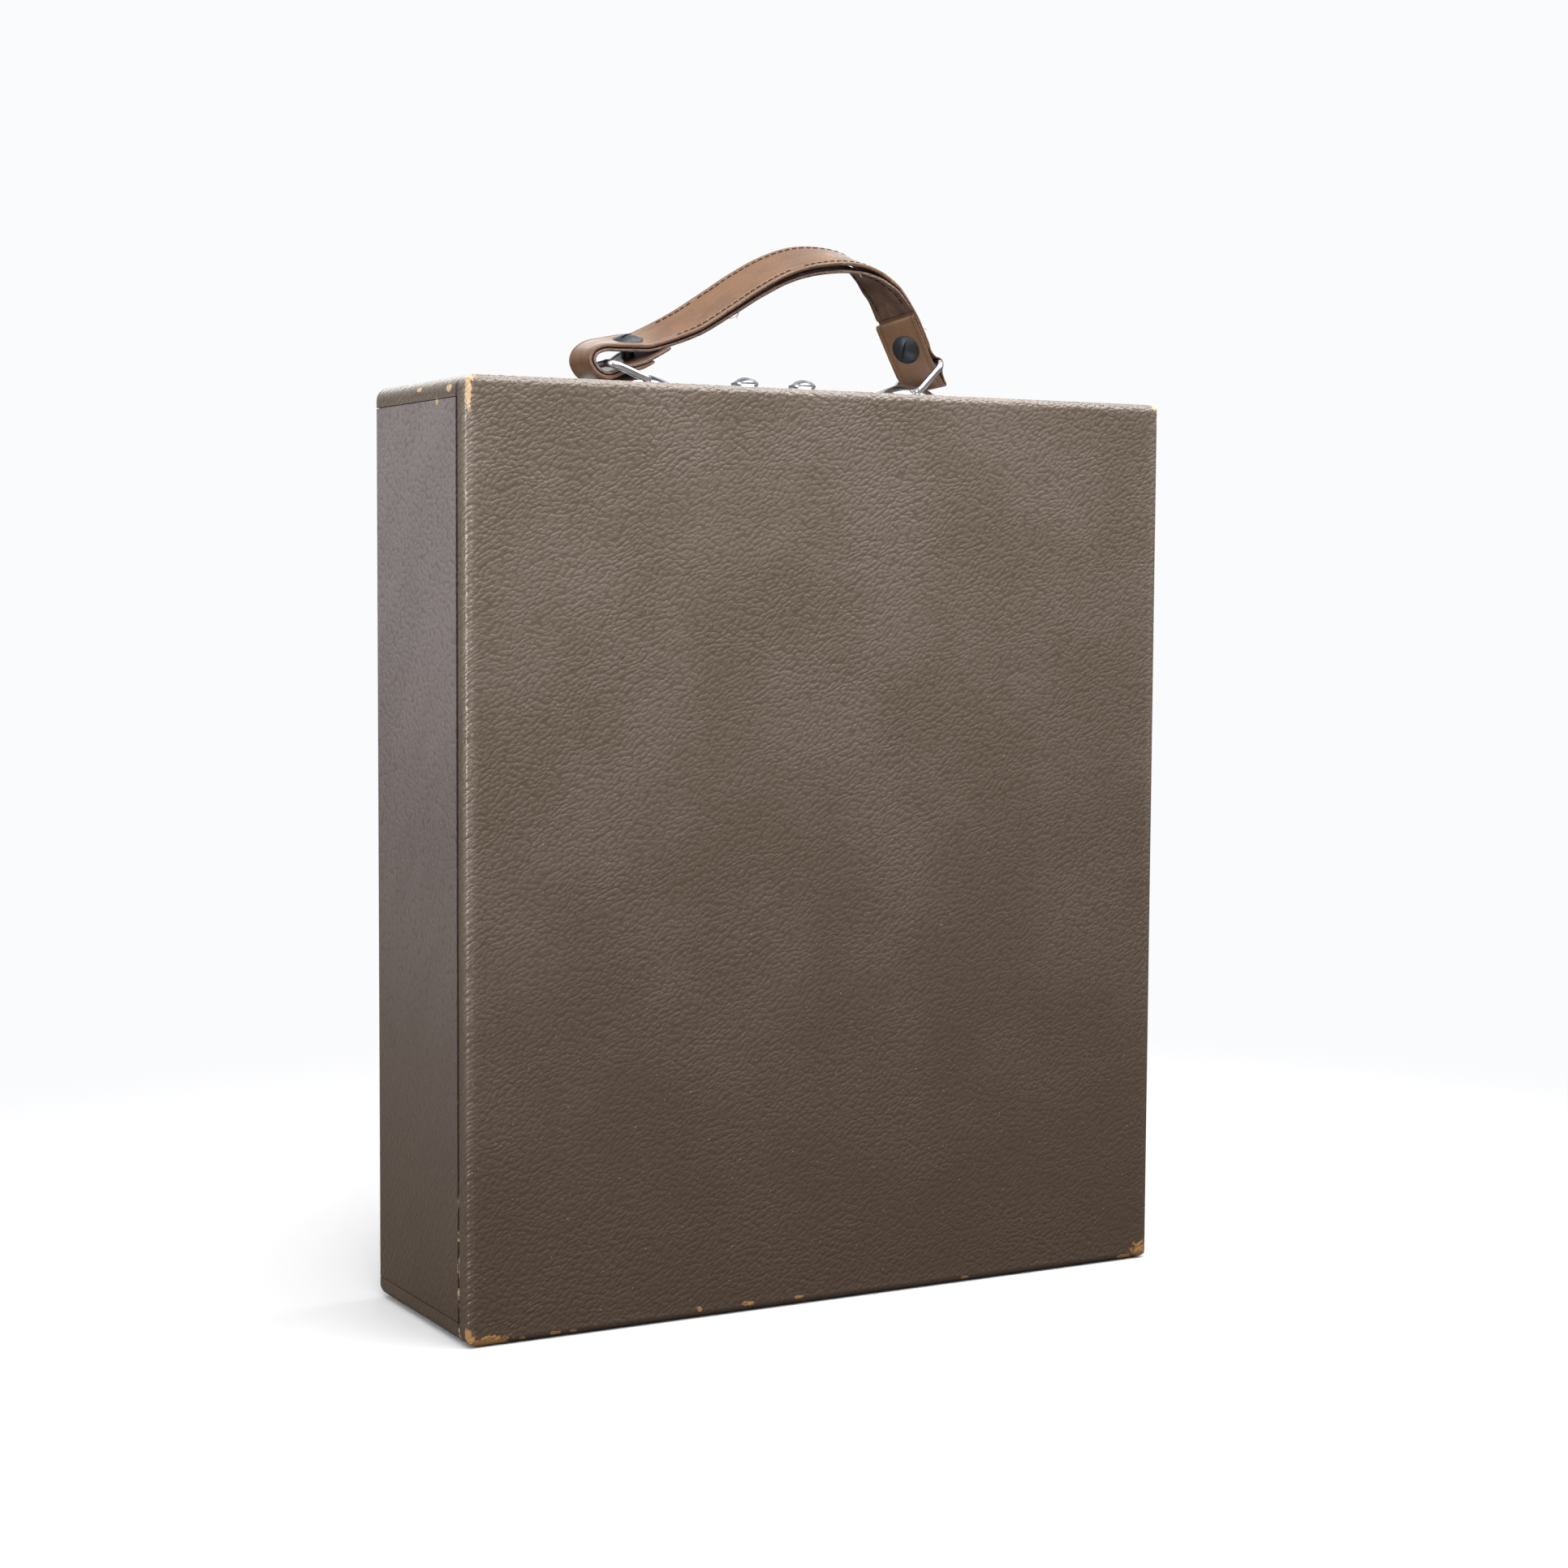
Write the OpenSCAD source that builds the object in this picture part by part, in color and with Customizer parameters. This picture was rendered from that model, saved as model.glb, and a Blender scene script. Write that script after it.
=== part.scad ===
// Portable typewriter case: a plywood shell covered in leatherette, closed at the back by a hinged panel.
// It stands on its hinge side. The origin is on the ground, under the middle of the case, with +Z up.
// The front of the shell faces -Y, and the panel with its feet faces +Y.

/* [Case] */
// Width of the case across its front
case_w = 303; // [280:1:340]
// Height of the case without its handle
case_h = 350; // [310:1:390]
// Depth of the shell from its front to its rim
shell_d = 87; // [75:1:110]
// Radius of the long edges that run from front to back
edge_r = 5; // [4:0.5:8]
// Radius of the edges round the front
front_r = 3; // [2:0.5:5]

/* [Boards and sheets] */
// Thickness of the four plywood walls
wall_t = 6; // [5:0.5:9]
// Thickness of the plywood front
front_t = 5; // [4:0.5:8]
// Thickness of the leatherette covering
cover_t = 0.8; // [0.6:0.1:1.2]
// Thickness of the paper lining
lining_t = 0.6; // [0.4:0.1:1]
// Number of fingers in each corner joint
fingers = 7; // [5:2:11]
// Width of the covering strip that is turned over onto the sides
seam_in = 7.4; // [6:0.2:12]
// Width of the open seam between the strip and the side sheet
seam_gap = 0.9; // [0.4:0.1:1.5]
// Depth of the covering that is turned in over the rim
turn_in = 8; // [5:0.5:9]

/* [Panel] */
// Thickness of the panel's board
board_t = 8; // [6:0.5:12]
// Gap round the closed panel
panel_gap = 0.6; // [0.5:0.1:1.5]
// Width of the wood strips that the panel meets
stop_w = 7; // [5:0.5:12]
// Depth of these strips
stop_d = 8; // [6:0.5:12]
// Gap between the closed panel and the strips
stop_gap = 0.3; // [0.2:0.1:1]
// Height of the feet that stand out of the panel
foot_h = 4.8; // [4:0.2:8]
// Diameter of a foot where it meets the panel
foot_d = 18; // [14:1:24]
// Distance of the feet from the panel's side edges
foot_in = 18; // [14:1:30]
// Distance between the fixing bushes across the panel
fix_x = 230; // [180:5:240]
// Distance between the fixing bushes up the panel
fix_z = 220; // [160:5:240]
// Bore of a fixing bush
fix_d = 5; // [4:0.5:6]

/* [Hinges] */
// Length of a hinge
hinge_len = 42; // [34:1:60]
// Distance of each hinge's middle from the side of the case
hinge_in = 67.5; // [55:0.5:80]
// Diameter of the hinge pin
pin_d = 2.4; // [2:0.1:2.8]
// Radial clearance of the hinge pin
pin_clear = 0.05; // [0.02:0.01:0.1]
// Thickness of the hinge leaves
leaf_t = 1.2; // [1:0.1:1.3]
// Depth of the leaf under the shell
shell_leaf_d = 24; // [20:1:32]
// Height of the leaf on the panel
panel_leaf_h = 44; // [36:1:60]

/* [Lock] */
// Distance between the two lock buttons
button_span = 25.7; // [24:0.1:30]
// Diameter of a lock button
button_d = 10.7; // [9:0.1:11.5]
// Height of a lock button above the case
button_h = 7.5; // [6.5:0.1:9]
// Travel of each lock button towards the other
button_travel = 4.5; // [3.5:0.1:5]
// Diameter of the stem that carries a button
stem_d = 5; // [4:0.1:5.5]
// How far each hook reaches behind its lip
hook_catch = 2.2; // [1.5:0.1:2.8]

/* [Handle] */
// Distance between the two ring pivots
pivot_span = 119.4; // [112:0.2:126]
// Place of the handle and lock across the case
fittings_x = -2; // [-10:0.5:10]
// Height of the ring pivots above the case
pivot_h = 3.4; // [3:0.1:4]
// Length of a ring from its pivot to its bar
ring_r = 17.2; // [16:0.1:20]
// Thickness of the ring wire
wire_d = 3; // [2.4:0.1:3.4]
// Width of a ring between the middles of its legs
ring_w = 22.4; // [22:0.2:26]
// Resting angle of the left ring above the case
left_rest = 20; // [16:1:26]
// Resting angle of the right ring above the case
right_rest = 45.5; // [42:0.5:52]
// Width of the strap
strap_w = 18; // [15:0.5:18]
// Thickness of the strap
strap_t = 1.5; // [1.2:0.1:1.8]
// Thickness of the liner under the strap
liner_t = 1.3; // [1:0.1:1.6]
// Gap between the strap's layers at its ends
layer_gap = 0.3; // [0.2:0.05:0.5]
// Further gap between the layers in the middle of the arch
arch_gap = 1.7; // [0:0.1:2.2]
// Height of the top of the handle above the right ring's bar
arch_rise = 40.5; // [36:0.1:45]
// Diameter of the head of a strap screw
screw_head_d = 11.6; // [9:0.2:13]

/* [Hidden] */
$fn = 64;
eps = 0.01;

// Places of the shell
pivot_out = 2.5;
stand_out = 2 * pivot_out;
front_y = -(shell_d + stand_out) / 2;
rim_y = front_y + shell_d;
half_w = case_w / 2;
wood_x = half_w - cover_t;
wood_top = case_h - cover_t;
inner_x = wood_x - wall_t;
inner_top = wood_top - wall_t;
inner_low = cover_t + wall_t;
wall_y0 = front_y + cover_t + front_t;
wall_y1 = rim_y - cover_t;
finger_l = (wall_y1 - wall_y0) / fingers;
seam_z = wall_t + 2 * cover_t + 0.1;
stitch_gap = 0.3;

// Places of the panel
panel_proud = 0.2;
panel_out_y = rim_y + panel_proud;
board_y1 = panel_out_y - cover_t;
board_y0 = board_y1 - board_t;
panel_in_y = board_y0 - lining_t;
panel_x = inner_x - cover_t - panel_gap;
panel_top = inner_top - cover_t - panel_gap;
panel_low = inner_low + cover_t + panel_gap;
stop_y1 = panel_in_y - stop_gap;
stop_y0 = stop_y1 - stop_d;
foot_x = panel_x - foot_in;
foot_low = panel_low + foot_in + 2;
foot_top = panel_top - foot_in - 2;
foot_screw_l = 9;
foot_shank_r = 1.5;
foot_head_r = 3;
foot_screw_in = 1.6;
fix_mid = (panel_low + panel_top) / 2;
bush_wall = 1.5;
bush_flange_d = fix_d + 7;
bush_flange_t = 0.8;

// Places of the hinges
hinge_x = half_w - hinge_in;
pivot_y = rim_y + pivot_out;
pivot_z = pivot_out;
knuckle_r = pivot_out - 0.1;
knuckle_gap = 0.3;
knuckle_l = hinge_len / 3;
leaf_z0 = pivot_z - knuckle_r;
leaf_y0 = pivot_y - shell_leaf_d;
pin_head_t = 0.8;
small_screw_r = 1.3;
small_head_r = 2.6;
small_screw_l = 5.2;
long_screw_l = small_screw_l + 1;
flat_head_r = 2.4;
lock_head_r = 2.2;
leaf_screw_in = 7;

// Places of the lock
plate_t = 1;
stem_x = button_span / 2;
slot_play = 0.3;
block_w = 12;
block_d = 13;
block_h = 5;
block_out = stem_x + block_w / 2;
block_in = block_out - block_w;
block_top = inner_top - 1.9;
block_low = block_top - block_h;
lock_play = 0.3;
sheet_t = 1;
house_x = block_out + lock_play;
house_y = block_d / 2 + lock_play;
floor_top = block_low - lock_play;
flange_x = house_x + sheet_t + 10.2;
house_screw_x = flange_x - 4;
plate_screw_x = house_screw_x - 4.6;
lock_plate_x = plate_screw_x + 4.6;
lock_plate_y = 8;
arm_w = 5;
arm_h = 3.5;
arm_low = block_low + 0.7;
rib_t = 1.5;
spring_r = 1.5;
spring_wire = 0.55;
spring_play = 0.3;
pocket_r = spring_r + spring_wire / 2 + spring_play;
pocket_d = 5;

// Places of the strike and its lips
strike_t = 1.3;
strike_y1 = board_y0;
strike_y0 = strike_y1 - strike_t;
lip_t = 1.3;
lip_y1 = strike_y0 - 9.6;
lip_y0 = lip_y1 - lip_t;
nose_y = lip_y1 + lock_play;
nose_d = 3.2;
lip_edge = block_out + 1.5;
nose_tip = lip_edge + hook_catch;
ear_in = nose_tip + 1.2;
strike_x = ear_in + strike_t + 5;
strike_top = block_top;
strike_low = strike_top - 24;
strike_screw_in = 7.5;
stop_break = strike_x + 3;

// Places of the handle: points are [x, z] with z above the case
half_span = pivot_span / 2;
wire_r = wire_d / 2;
left_pivot = [fittings_x - half_span, pivot_h];
right_pivot = [fittings_x + half_span, pivot_h];
left_bar = left_pivot + ring_r * [-cos(left_rest), sin(left_rest)];
right_bar = right_pivot + ring_r * [cos(right_rest), sin(right_rest)];
ring_corner = 4.5;
ring_foot = 2.2;
stub_end = 5.6;
hole_play = 0.05;
dome_major = 18;
dome_minor = 10;
dome_wall = 0.9;
dome_top = 7.3;
flange_l = 54;
flange_w = 24;
rivet_r = 1.7;
rivet_x = flange_l / 2 - 5;
rivet_head_r = 3.4;
rivet_head_t = 1.6;
washer_t = 1;

// The strap's line, the middle of its outer layer, first from the left bar, then the arch, then from the
// right bar: [x, z, roll, share of the thickness, share of the width]. Roll turns the strap about its own
// length, and a positive roll dips its front edge. In the right line it turns the strap about the flap's
// length instead. The right end is skived, folded round the bar, and its tail is tucked in behind the flap.
left_line = [
    [25.8, 7.6, -17], [20.1, 4.3, -17], [13.6, 1, -16], [7.1, -2, -6], [1.1, -5.1, -2],
    [-4.2, -4.2, 0], [-7.4, 0.4, 0], [-6.1, 4.8, 3], [-1.4, 7.6, 8], [5.6, 8.6, 13],
    [12.4, 9.4, 17], [19.4, 10.5, 19]
];
arch_line = [
    [0.246, 0.282, 28], [0.342, 0.496, 30], [0.427, 0.694, 30], [0.513, 0.862, 30], [0.599, 0.966, 30],
    [0.687, 1, 25], [0.757, 0.968, 18], [0.809, 0.862, 4], [0.841, 0.749, -8]
];
right_line = [
    [-19.79, 26.17, -15, 0.9, 1], [-14.6, 17.14, -28, 0.6, 1], [-11.72, 11.42, -31, 0.47, 1],
    [-9.18, 6.43, -31, 0.45, 1], [-7.33, 3.45, -28, 0.45, 0.95], [-4.94, 2.42, -20, 0.45, 0.88],
    [-2.34, 2.06, -10, 0.45, 0.83], [-0.17, 2.21, -3, 0.45, 0.8], [1.37, 1.82, 0, 0.45, 0.8],
    [2.3, 0.16, 0, 0.45, 0.8], [1.18, -2.76, -4, 0.45, 0.84], [0.85, -5.41, -7, 0.45, 0.92],
    [1.04, -7.77, -10, 0.45, 0.98], [1.19, -8.94, -12, 0.45, 1], [0.74, -9.72, -14, 0.45, 1],
    [-0.15, -9.62, -16, 0.45, 1], [-1.18, -8.91, -19, 0.45, 1], [-2.9, -7.31, -23.5, 0.45, 1],
    [-4.81, -5.26, -29, 0.45, 1], [-7.2, -1.42, -31, 0.45, 1], [-10.85, 5.58, -31, 0.45, 1],
    [-13.64, 11.01, -31, 0.45, 1], [-15.32, 14.19, -31, 0.45, 1], [-16, 15.64, -31, 0.45, 1],
    [-16.14, 16.41, -31, 0.45, 1], [-16.01, 16.87, -31, 0.45, 1], [-15.57, 16.7, -31, 0.45, 1],
    [-15.09, 16.11, -31, 0.45, 1], [-14.34, 14.69, -31, 0.45, 1], [-12.73, 11.47, -31, 0.45, 1],
    [-10.51, 6.99, -31, 0.45, 1], [-8.8, 3.6, -31, 0.45, 1]
];
line = concat(
    [for (p = left_line) [left_bar[0] + p[0], left_bar[1] + p[1], p[2], 1, 1]],
    [for (p = arch_line) [
        left_bar[0] + p[0] * (right_bar[0] - left_bar[0]),
        right_bar[1] + p[1] * arch_rise,
        p[2], 1, 1
    ]],
    [for (p = right_line) [right_bar[0] + p[0], right_bar[1] + p[1], p[2], p[3], p[4]]]
);
line_steps = 4;
// Angle between the flap at the right end and the vertical
flap_lean = 27;
last = len(line) - 1;
right_start = len(left_line) + len(arch_line);
tail_start = 1.25;
left_screw_at = 10;
left_seat_at = 2;
right_screw_at = right_start + 20;
right_seat_at = right_start + 3;
liner_end = right_start + 0.78;
arch_start = 10;
arch_end = right_start + 1;
post_r = 2.5;
post_bore_r = 1.5;
post_play = 0.1;
post_head_r = 3.6;
post_head_t = 1.15;
head_sink = 0.15;
screw_head_t = 2;

// A point on the strap's smooth line at step u, with its roll
function at(i) = line[min(max(i, 0), last)];
function blend(a, b, c, d, t) =
    0.5 * (2 * b + (c - a) * t + (2 * a - 5 * b + 4 * c - d) * t * t + (3 * b - a - 3 * c + d) * t * t * t);
function on_line(u) =
    let (i = min(floor(u), last - 1), t = u - i)
    blend(at(i - 1), at(i), at(i + 1), at(i + 2), t);
function heading(u) =
    let (a = on_line(max(u - 0.02, 0)), b = on_line(min(u + 0.02, last)))
    atan2(b[1] - a[1], b[0] - a[0]);
// Directions at step u: along the strap, across its width towards the front, and out of its face
function unit(v) = v / norm(v);
function along_dir(u) = let (a = heading(u)) [cos(a), 0, sin(a)];
function width_dir(u) =
    let (
        a = heading(u),
        r = on_line(u)[2],
        t = min(max(u - right_start, 0), 1),
        rolled = [sin(a) * sin(r), -cos(r), -cos(a) * sin(r)],
        turned = [-cos(flap_lean) * sin(r), -cos(r), -sin(flap_lean) * sin(r)]
    )
    unit((1 - t) * rolled + t * turned);
function face_dir(u) = unit(cross(width_dir(u), along_dir(u)));
function place(u) = let (p = on_line(u)) [p[0], 0, case_h + p[1]];
// Half of the outer layer's thickness at step u
function half_at(u) = strap_t / 2 * on_line(u)[3];

// Rounded rectangle from its corners, with its own radius at each end
module round_rect(w, h, r) {
    union() {
        translate([-w / 2 + r, -h / 2])
            square([w - 2 * r, h]);
        translate([-w / 2, -h / 2 + r])
            square([w, h - 2 * r]);
        for (x = [-1, 1], z = [-1, 1])
            translate([x * (w / 2 - r), z * (h / 2 - r)])
                circle(r);
    }
}

// Rectangle whose two corners on the low side of its first direction are rounded
module front_round(d, h, r) {
    union() {
        translate([r, 0])
            square([d - r, h]);
        translate([0, r])
            square([r + eps, h - 2 * r]);
        for (z = [r, h - r])
            translate([r, z])
                circle(r);
    }
}

// The outer form of the case, set in by a distance on its front, sides, top and bottom
module case_form(inset, y1) {
    w = case_w - 2 * inset;
    h = case_h - 2 * inset;
    y0 = front_y + inset;
    d = y1 - y0;
    re = edge_r - inset;
    rf = front_r - inset;
    intersection() {
        translate([0, y1, case_h / 2])
            rotate([90, 0, 0])
                linear_extrude(d)
                    round_rect(w, h, re);
        translate([-w / 2, y0, inset])
            rotate([90, 0, 90])
                linear_extrude(w)
                    front_round(d, h, rf);
        translate([w / 2, y0, inset])
            rotate([0, 0, 90])
                linear_extrude(h)
                    front_round(d, w, rf);
    }
}

module box(x0, x1, y0, y1, z0, z1) {
    translate([x0, y0, z0])
        cube([x1 - x0, y1 - y0, z1 - z0]);
}

module both_sides() {
    children();
    mirror([1, 0, 0])
        children();
}

// The corner blocks that belong to the top and bottom walls, every other finger
module flat_fingers() {
    for (i = [1:2:fingers - 1])
        both_sides()
            for (z = [cover_t, inner_top])
                box(inner_x, wood_x + 1, wall_y0 + i * finger_l, wall_y0 + (i + 1) * finger_l, z - (z < 9 ? 1 : 0),
                    z + wall_t + (z < 9 ? 0 : 1));
}

module wall_ring() {
    intersection() {
        case_form(cover_t, wall_y1);
        box(-half_w, half_w, wall_y0, wall_y1, 0, case_h);
    }
}

module side_wall(side) {
    difference() {
        intersection() {
            wall_ring();
            mirror([side < 0 ? 1 : 0, 0, 0])
                box(inner_x, half_w, wall_y0, wall_y1, 0, case_h);
        }
        flat_fingers();
    }
}

module flat_wall(z0, z1) {
    intersection() {
        wall_ring();
        union() {
            box(-inner_x, inner_x, wall_y0, wall_y1, z0, z1);
            intersection() {
                flat_fingers();
                box(-half_w, half_w, wall_y0, wall_y1, z0, z1);
            }
        }
    }
}

module front_board() {
    color("burlywood")
        intersection() {
            case_form(cover_t, wall_y1);
            box(-half_w, half_w, front_y, wall_y0, 0, case_h);
        }
}

module left_wall() {
    color("burlywood")
        side_wall(-1);
}

module right_wall() {
    color("burlywood")
        side_wall(1);
}

module top_wall() {
    color("burlywood")
        difference() {
            flat_wall(inner_top, case_h);
            top_holes();
        }
}

module bottom_wall() {
    color("burlywood")
        difference() {
            flat_wall(0, inner_low);
            hinge_beds();
            shell_screw_shapes();
        }
}

// Strips glued inside the walls for the panel to meet, with a break at the top for the lock
module panel_stops() {
    color("tan") {
        both_sides()
            box(inner_x - stop_w, inner_x, stop_y0, stop_y1, inner_low + stop_w, inner_top - stop_w);
        box(-inner_x, inner_x, stop_y0, stop_y1, inner_low, inner_low + stop_w);
        box(-inner_x, fittings_x - stop_break, stop_y0, stop_y1, inner_top - stop_w, inner_top);
        box(fittings_x + stop_break, inner_x, stop_y0, stop_y1, inner_top - stop_w, inner_top);
    }
}

module shell_lining() {
    color("wheat")
        difference() {
            box(-inner_x, inner_x, wall_y0, stop_y0, inner_low, inner_top);
            box(-inner_x + lining_t, inner_x - lining_t, wall_y0 + lining_t, stop_y0 + 1,
                inner_low + lining_t, inner_top - lining_t);
            top_holes();
            translate([fittings_x, 0, 0])
                box(-flange_x - 0.3, flange_x + 0.3, -house_y - sheet_t - 0.3, house_y + sheet_t + 0.3,
                    inner_top - lining_t - 1, inner_top + 1);
            for (c = [left_pivot[0], right_pivot[0]], x = [-rivet_x, rivet_x])
                translate([c + x, 0, inner_top - 2])
                    cylinder(r = rivet_head_r + 0.3, h = 3);
        }
}

// The whole covering: skin outside, rim face, and the part turned in over the rim
module covering() {
    difference() {
        case_form(0, rim_y);
        difference() {
            case_form(cover_t, wall_y1);
            box(-inner_x, inner_x, rim_y - turn_in, rim_y, inner_low, inner_top);
        }
        box(-inner_x + cover_t, inner_x - cover_t, wall_y0, rim_y + 1, inner_low + cover_t, inner_top - cover_t);
        box(-inner_x - 1, inner_x + 1, wall_y0, rim_y - turn_in, inner_low - 1, inner_top + 1);
    }
}

// The space of a side sheet, grown by a gap on its edges
module side_zone(side, gap) {
    mirror([side < 0 ? 1 : 0, 0, 0])
        box(inner_x - cover_t - 1, half_w + 1, front_y + seam_in + seam_gap - gap[0], rim_y + 1,
            seam_z + stitch_gap - gap[1], case_h - seam_z - stitch_gap + gap[1]);
}

module front_cover() {
    color("#6f675c")
        difference() {
            covering();
            side_zone(-1, [seam_gap, stitch_gap]);
            side_zone(1, [seam_gap, stitch_gap]);
            top_holes();
            hinge_beds();
        }
}

module side_cover(side) {
    intersection() {
        covering();
        side_zone(side, [0, 0]);
    }
}

module left_side_cover() {
    color("#7a736a")
        side_cover(-1);
}

module right_side_cover() {
    color("#7a736a")
        side_cover(1);
}

// Everything that passes through the top wall
module top_holes() {
    rivet_shanks();
    translate([fittings_x, 0, 0])
        both_sides()
            box(stem_x - button_travel - stem_d / 2 - 2 * slot_play, stem_x + stem_d / 2 + 2 * slot_play,
                -stem_d / 2 - 2 * slot_play, stem_d / 2 + 2 * slot_play, inner_top - 1, case_h + 1);
    plate_screw_shapes();
    house_screw_shapes();
}

// A countersunk screw that points down from the top of its head
module sunk_screw(length, shank_r, head_r) {
    rotate([180, 0, 0]) {
        cylinder(r1 = head_r, r2 = shank_r, h = head_r - shank_r);
        cylinder(r = shank_r, h = length);
    }
}

module plate_screw_shapes() {
    for (x = [-plate_screw_x, plate_screw_x])
        translate([fittings_x + x, 0, case_h + plate_t])
            sunk_screw(small_screw_l, small_screw_r, lock_head_r);
}

module house_screw_shapes() {
    for (x = [-house_screw_x, house_screw_x])
        translate([fittings_x + x, 0, inner_top - sheet_t])
            rotate([180, 0, 0])
                sunk_screw(small_screw_l, small_screw_r, lock_head_r);
}

module lock_plate() {
    color("silver")
        translate([fittings_x, 0, case_h])
            difference() {
                linear_extrude(plate_t)
                    round_rect(2 * lock_plate_x, 2 * lock_plate_y, 3);
                both_sides()
                    box(stem_x - button_travel - stem_d / 2 - slot_play, stem_x + stem_d / 2 + slot_play,
                        -stem_d / 2 - slot_play, stem_d / 2 + slot_play, -1, plate_t + 1);
                translate([-fittings_x, 0, -case_h])
                    plate_screw_shapes();
            }
}

module lock_plate_screws() {
    color("silver")
        plate_screw_shapes();
}

// A sheet pan under the top wall that guides both latches, with windows for their arms
module lock_housing() {
    color("darkgray")
        difference() {
            translate([fittings_x, 0, 0])
                difference() {
                    union() {
                        box(-house_x - sheet_t, house_x + sheet_t, -house_y - sheet_t, house_y + sheet_t,
                            floor_top - sheet_t, inner_top);
                        box(-flange_x, flange_x, -house_y - sheet_t, house_y + sheet_t,
                            inner_top - sheet_t, inner_top);
                    }
                    both_sides()
                        box(rib_t / 2, house_x, -house_y, house_y, floor_top, inner_top + 1);
                    both_sides()
                        box(block_out - arm_w - button_travel - lock_play, block_out + lock_play,
                            house_y - 1, house_y + sheet_t + 1, arm_low - lock_play, arm_low + arm_h + lock_play);
                }
            house_screw_shapes();
        }
}

module lock_housing_screws() {
    color("silver")
        house_screw_shapes();
}

// A latch: block, stem, arm and outward nose. It lies on the left and slides towards the middle.
module latch_left() {
    translate([fittings_x, 0, 0])
        difference() {
            union() {
                box(-block_out, -block_in, -block_d / 2, block_d / 2, block_low, block_top);
                translate([-stem_x, 0, block_top - 1])
                    cylinder(d = stem_d, h = case_h + 3.4 - block_top + 1);
                box(-block_out, -block_out + arm_w, block_d / 2 - 1, nose_y + nose_d, arm_low, arm_low + arm_h);
                translate([0, 0, arm_low])
                    linear_extrude(arm_h)
                        polygon([
                            [-block_out + 1, nose_y], [-nose_tip, nose_y], [-nose_tip, nose_y + 0.8],
                            [-block_out, nose_y + nose_d], [-block_out + 1, nose_y + nose_d]
                        ]);
            }
            translate([-block_in - pocket_d, 0, block_low + block_h / 2])
                rotate([0, 90, 0])
                    cylinder(r = pocket_r, h = pocket_d + 1);
        }
}

module left_latch() {
    color("slategray")
        latch_left();
}

module right_latch() {
    color("slategray")
        translate([2 * fittings_x, 0, 0])
            mirror([1, 0, 0])
                latch_left();
}

// A domed button on its stem
module button_cap(x) {
    top_r = (button_d * button_d / 4 + 2.7 * 2.7) / (2 * 2.7);
    translate([fittings_x + x, 0, case_h])
        rotate_extrude()
            difference() {
                union() {
                    intersection() {
                        translate([0, button_h - top_r])
                            circle(top_r, $fn = 96);
                        translate([0, button_h - 3.4])
                            square([button_d / 2, 4]);
                    }
                    polygon([
                        [0, plate_t + 0.5], [button_d / 2 - 1.6, plate_t + 0.5], [button_d / 2, button_h - 3.4],
                        [0, button_h - 3.4]
                    ]);
                }
                translate([-1, -1])
                    square([1 + stem_d / 2, 4.4]);
            }
}

module left_button() {
    color("gainsboro")
        button_cap(-stem_x);
}

module right_button() {
    color("gainsboro")
        button_cap(stem_x);
}

// A coil spring from the housing's middle rib into the latch's pocket
spring_l = block_in + pocket_d - rib_t / 2 - 0.4;
spring_turns = 7;
spring_sides = 6;
spring_ring = 12;
function spring_point(k) =
    let (n = spring_turns * spring_ring, a = 360 * k / spring_ring)
    [spring_wire / 2 + (spring_l - spring_wire) * k / n, spring_r * cos(a), spring_r * sin(a)];
module coil() {
    n = spring_turns * spring_ring;
    pts = [for (k = [0:n]) for (j = [0:spring_sides - 1])
        let (a = 360 * k / spring_ring, b = 360 * j / spring_sides, r = spring_wire / 2)
        spring_point(k) + [r * sin(b), r * cos(b) * cos(a), r * cos(b) * sin(a)]];
    sides = [for (k = [0:n - 1]) for (j = [0:spring_sides - 1]) for (t = [0, 1])
        let (j2 = (j + 1) % spring_sides, a = k * spring_sides, b = a + spring_sides)
        t == 0 ? [a + j, b + j, b + j2] : [a + j, b + j2, a + j2]];
    end = n * spring_sides;
    low = [for (j = [1:spring_sides - 2]) [0, j, j + 1]];
    high = [for (j = [1:spring_sides - 2]) [end, end + j + 1, end + j]];
    polyhedron(pts, concat(sides, low, high), convexity = 10);
}

module right_spring() {
    color("gray")
        translate([fittings_x + rib_t / 2 + 0.2, 0, block_low + block_h / 2])
            coil();
}

module left_spring() {
    color("gray")
        translate([2 * fittings_x, 0, 0])
            mirror([1, 0, 0])
                right_spring();
}

// The bracket on the panel: a base and two ears whose lips stand in front of the latch noses
module strike() {
    color("silver")
        difference() {
            translate([fittings_x, 0, 0]) {
                box(-strike_x, strike_x, strike_y0, strike_y1, strike_low, strike_top);
                both_sides() {
                    box(ear_in, ear_in + strike_t, lip_y0, strike_y0 + eps, arm_low - 1.5, strike_top);
                    box(lip_edge, ear_in + strike_t, lip_y0, lip_y1, arm_low - 1.5, strike_top);
                }
            }
            strike_screw_shapes();
        }
}

module strike_screw_shapes() {
    for (x = [strike_screw_in - strike_x, strike_x - strike_screw_in])
        translate([fittings_x + x, strike_y0, strike_low + strike_screw_in])
            rotate([90, 0, 0])
                sunk_screw(long_screw_l, small_screw_r, small_head_r);
}

module strike_screws() {
    color("silver")
        strike_screw_shapes();
}

// Hinges: each leaf's form is drawn at x = 0 and moved to its place
module at_hinges() {
    for (x = [-hinge_x, hinge_x])
        translate([x, 0, 0])
            children();
}

module barrel(x0, x1, r) {
    translate([x0, pivot_y, pivot_z])
        rotate([0, 90, 0])
            cylinder(r = r, h = x1 - x0);
}

module hinge_beds() {
    at_hinges()
        box(-hinge_len / 2, hinge_len / 2, leaf_y0, rim_y + 1, -1, leaf_z0 + leaf_t);
}

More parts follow.
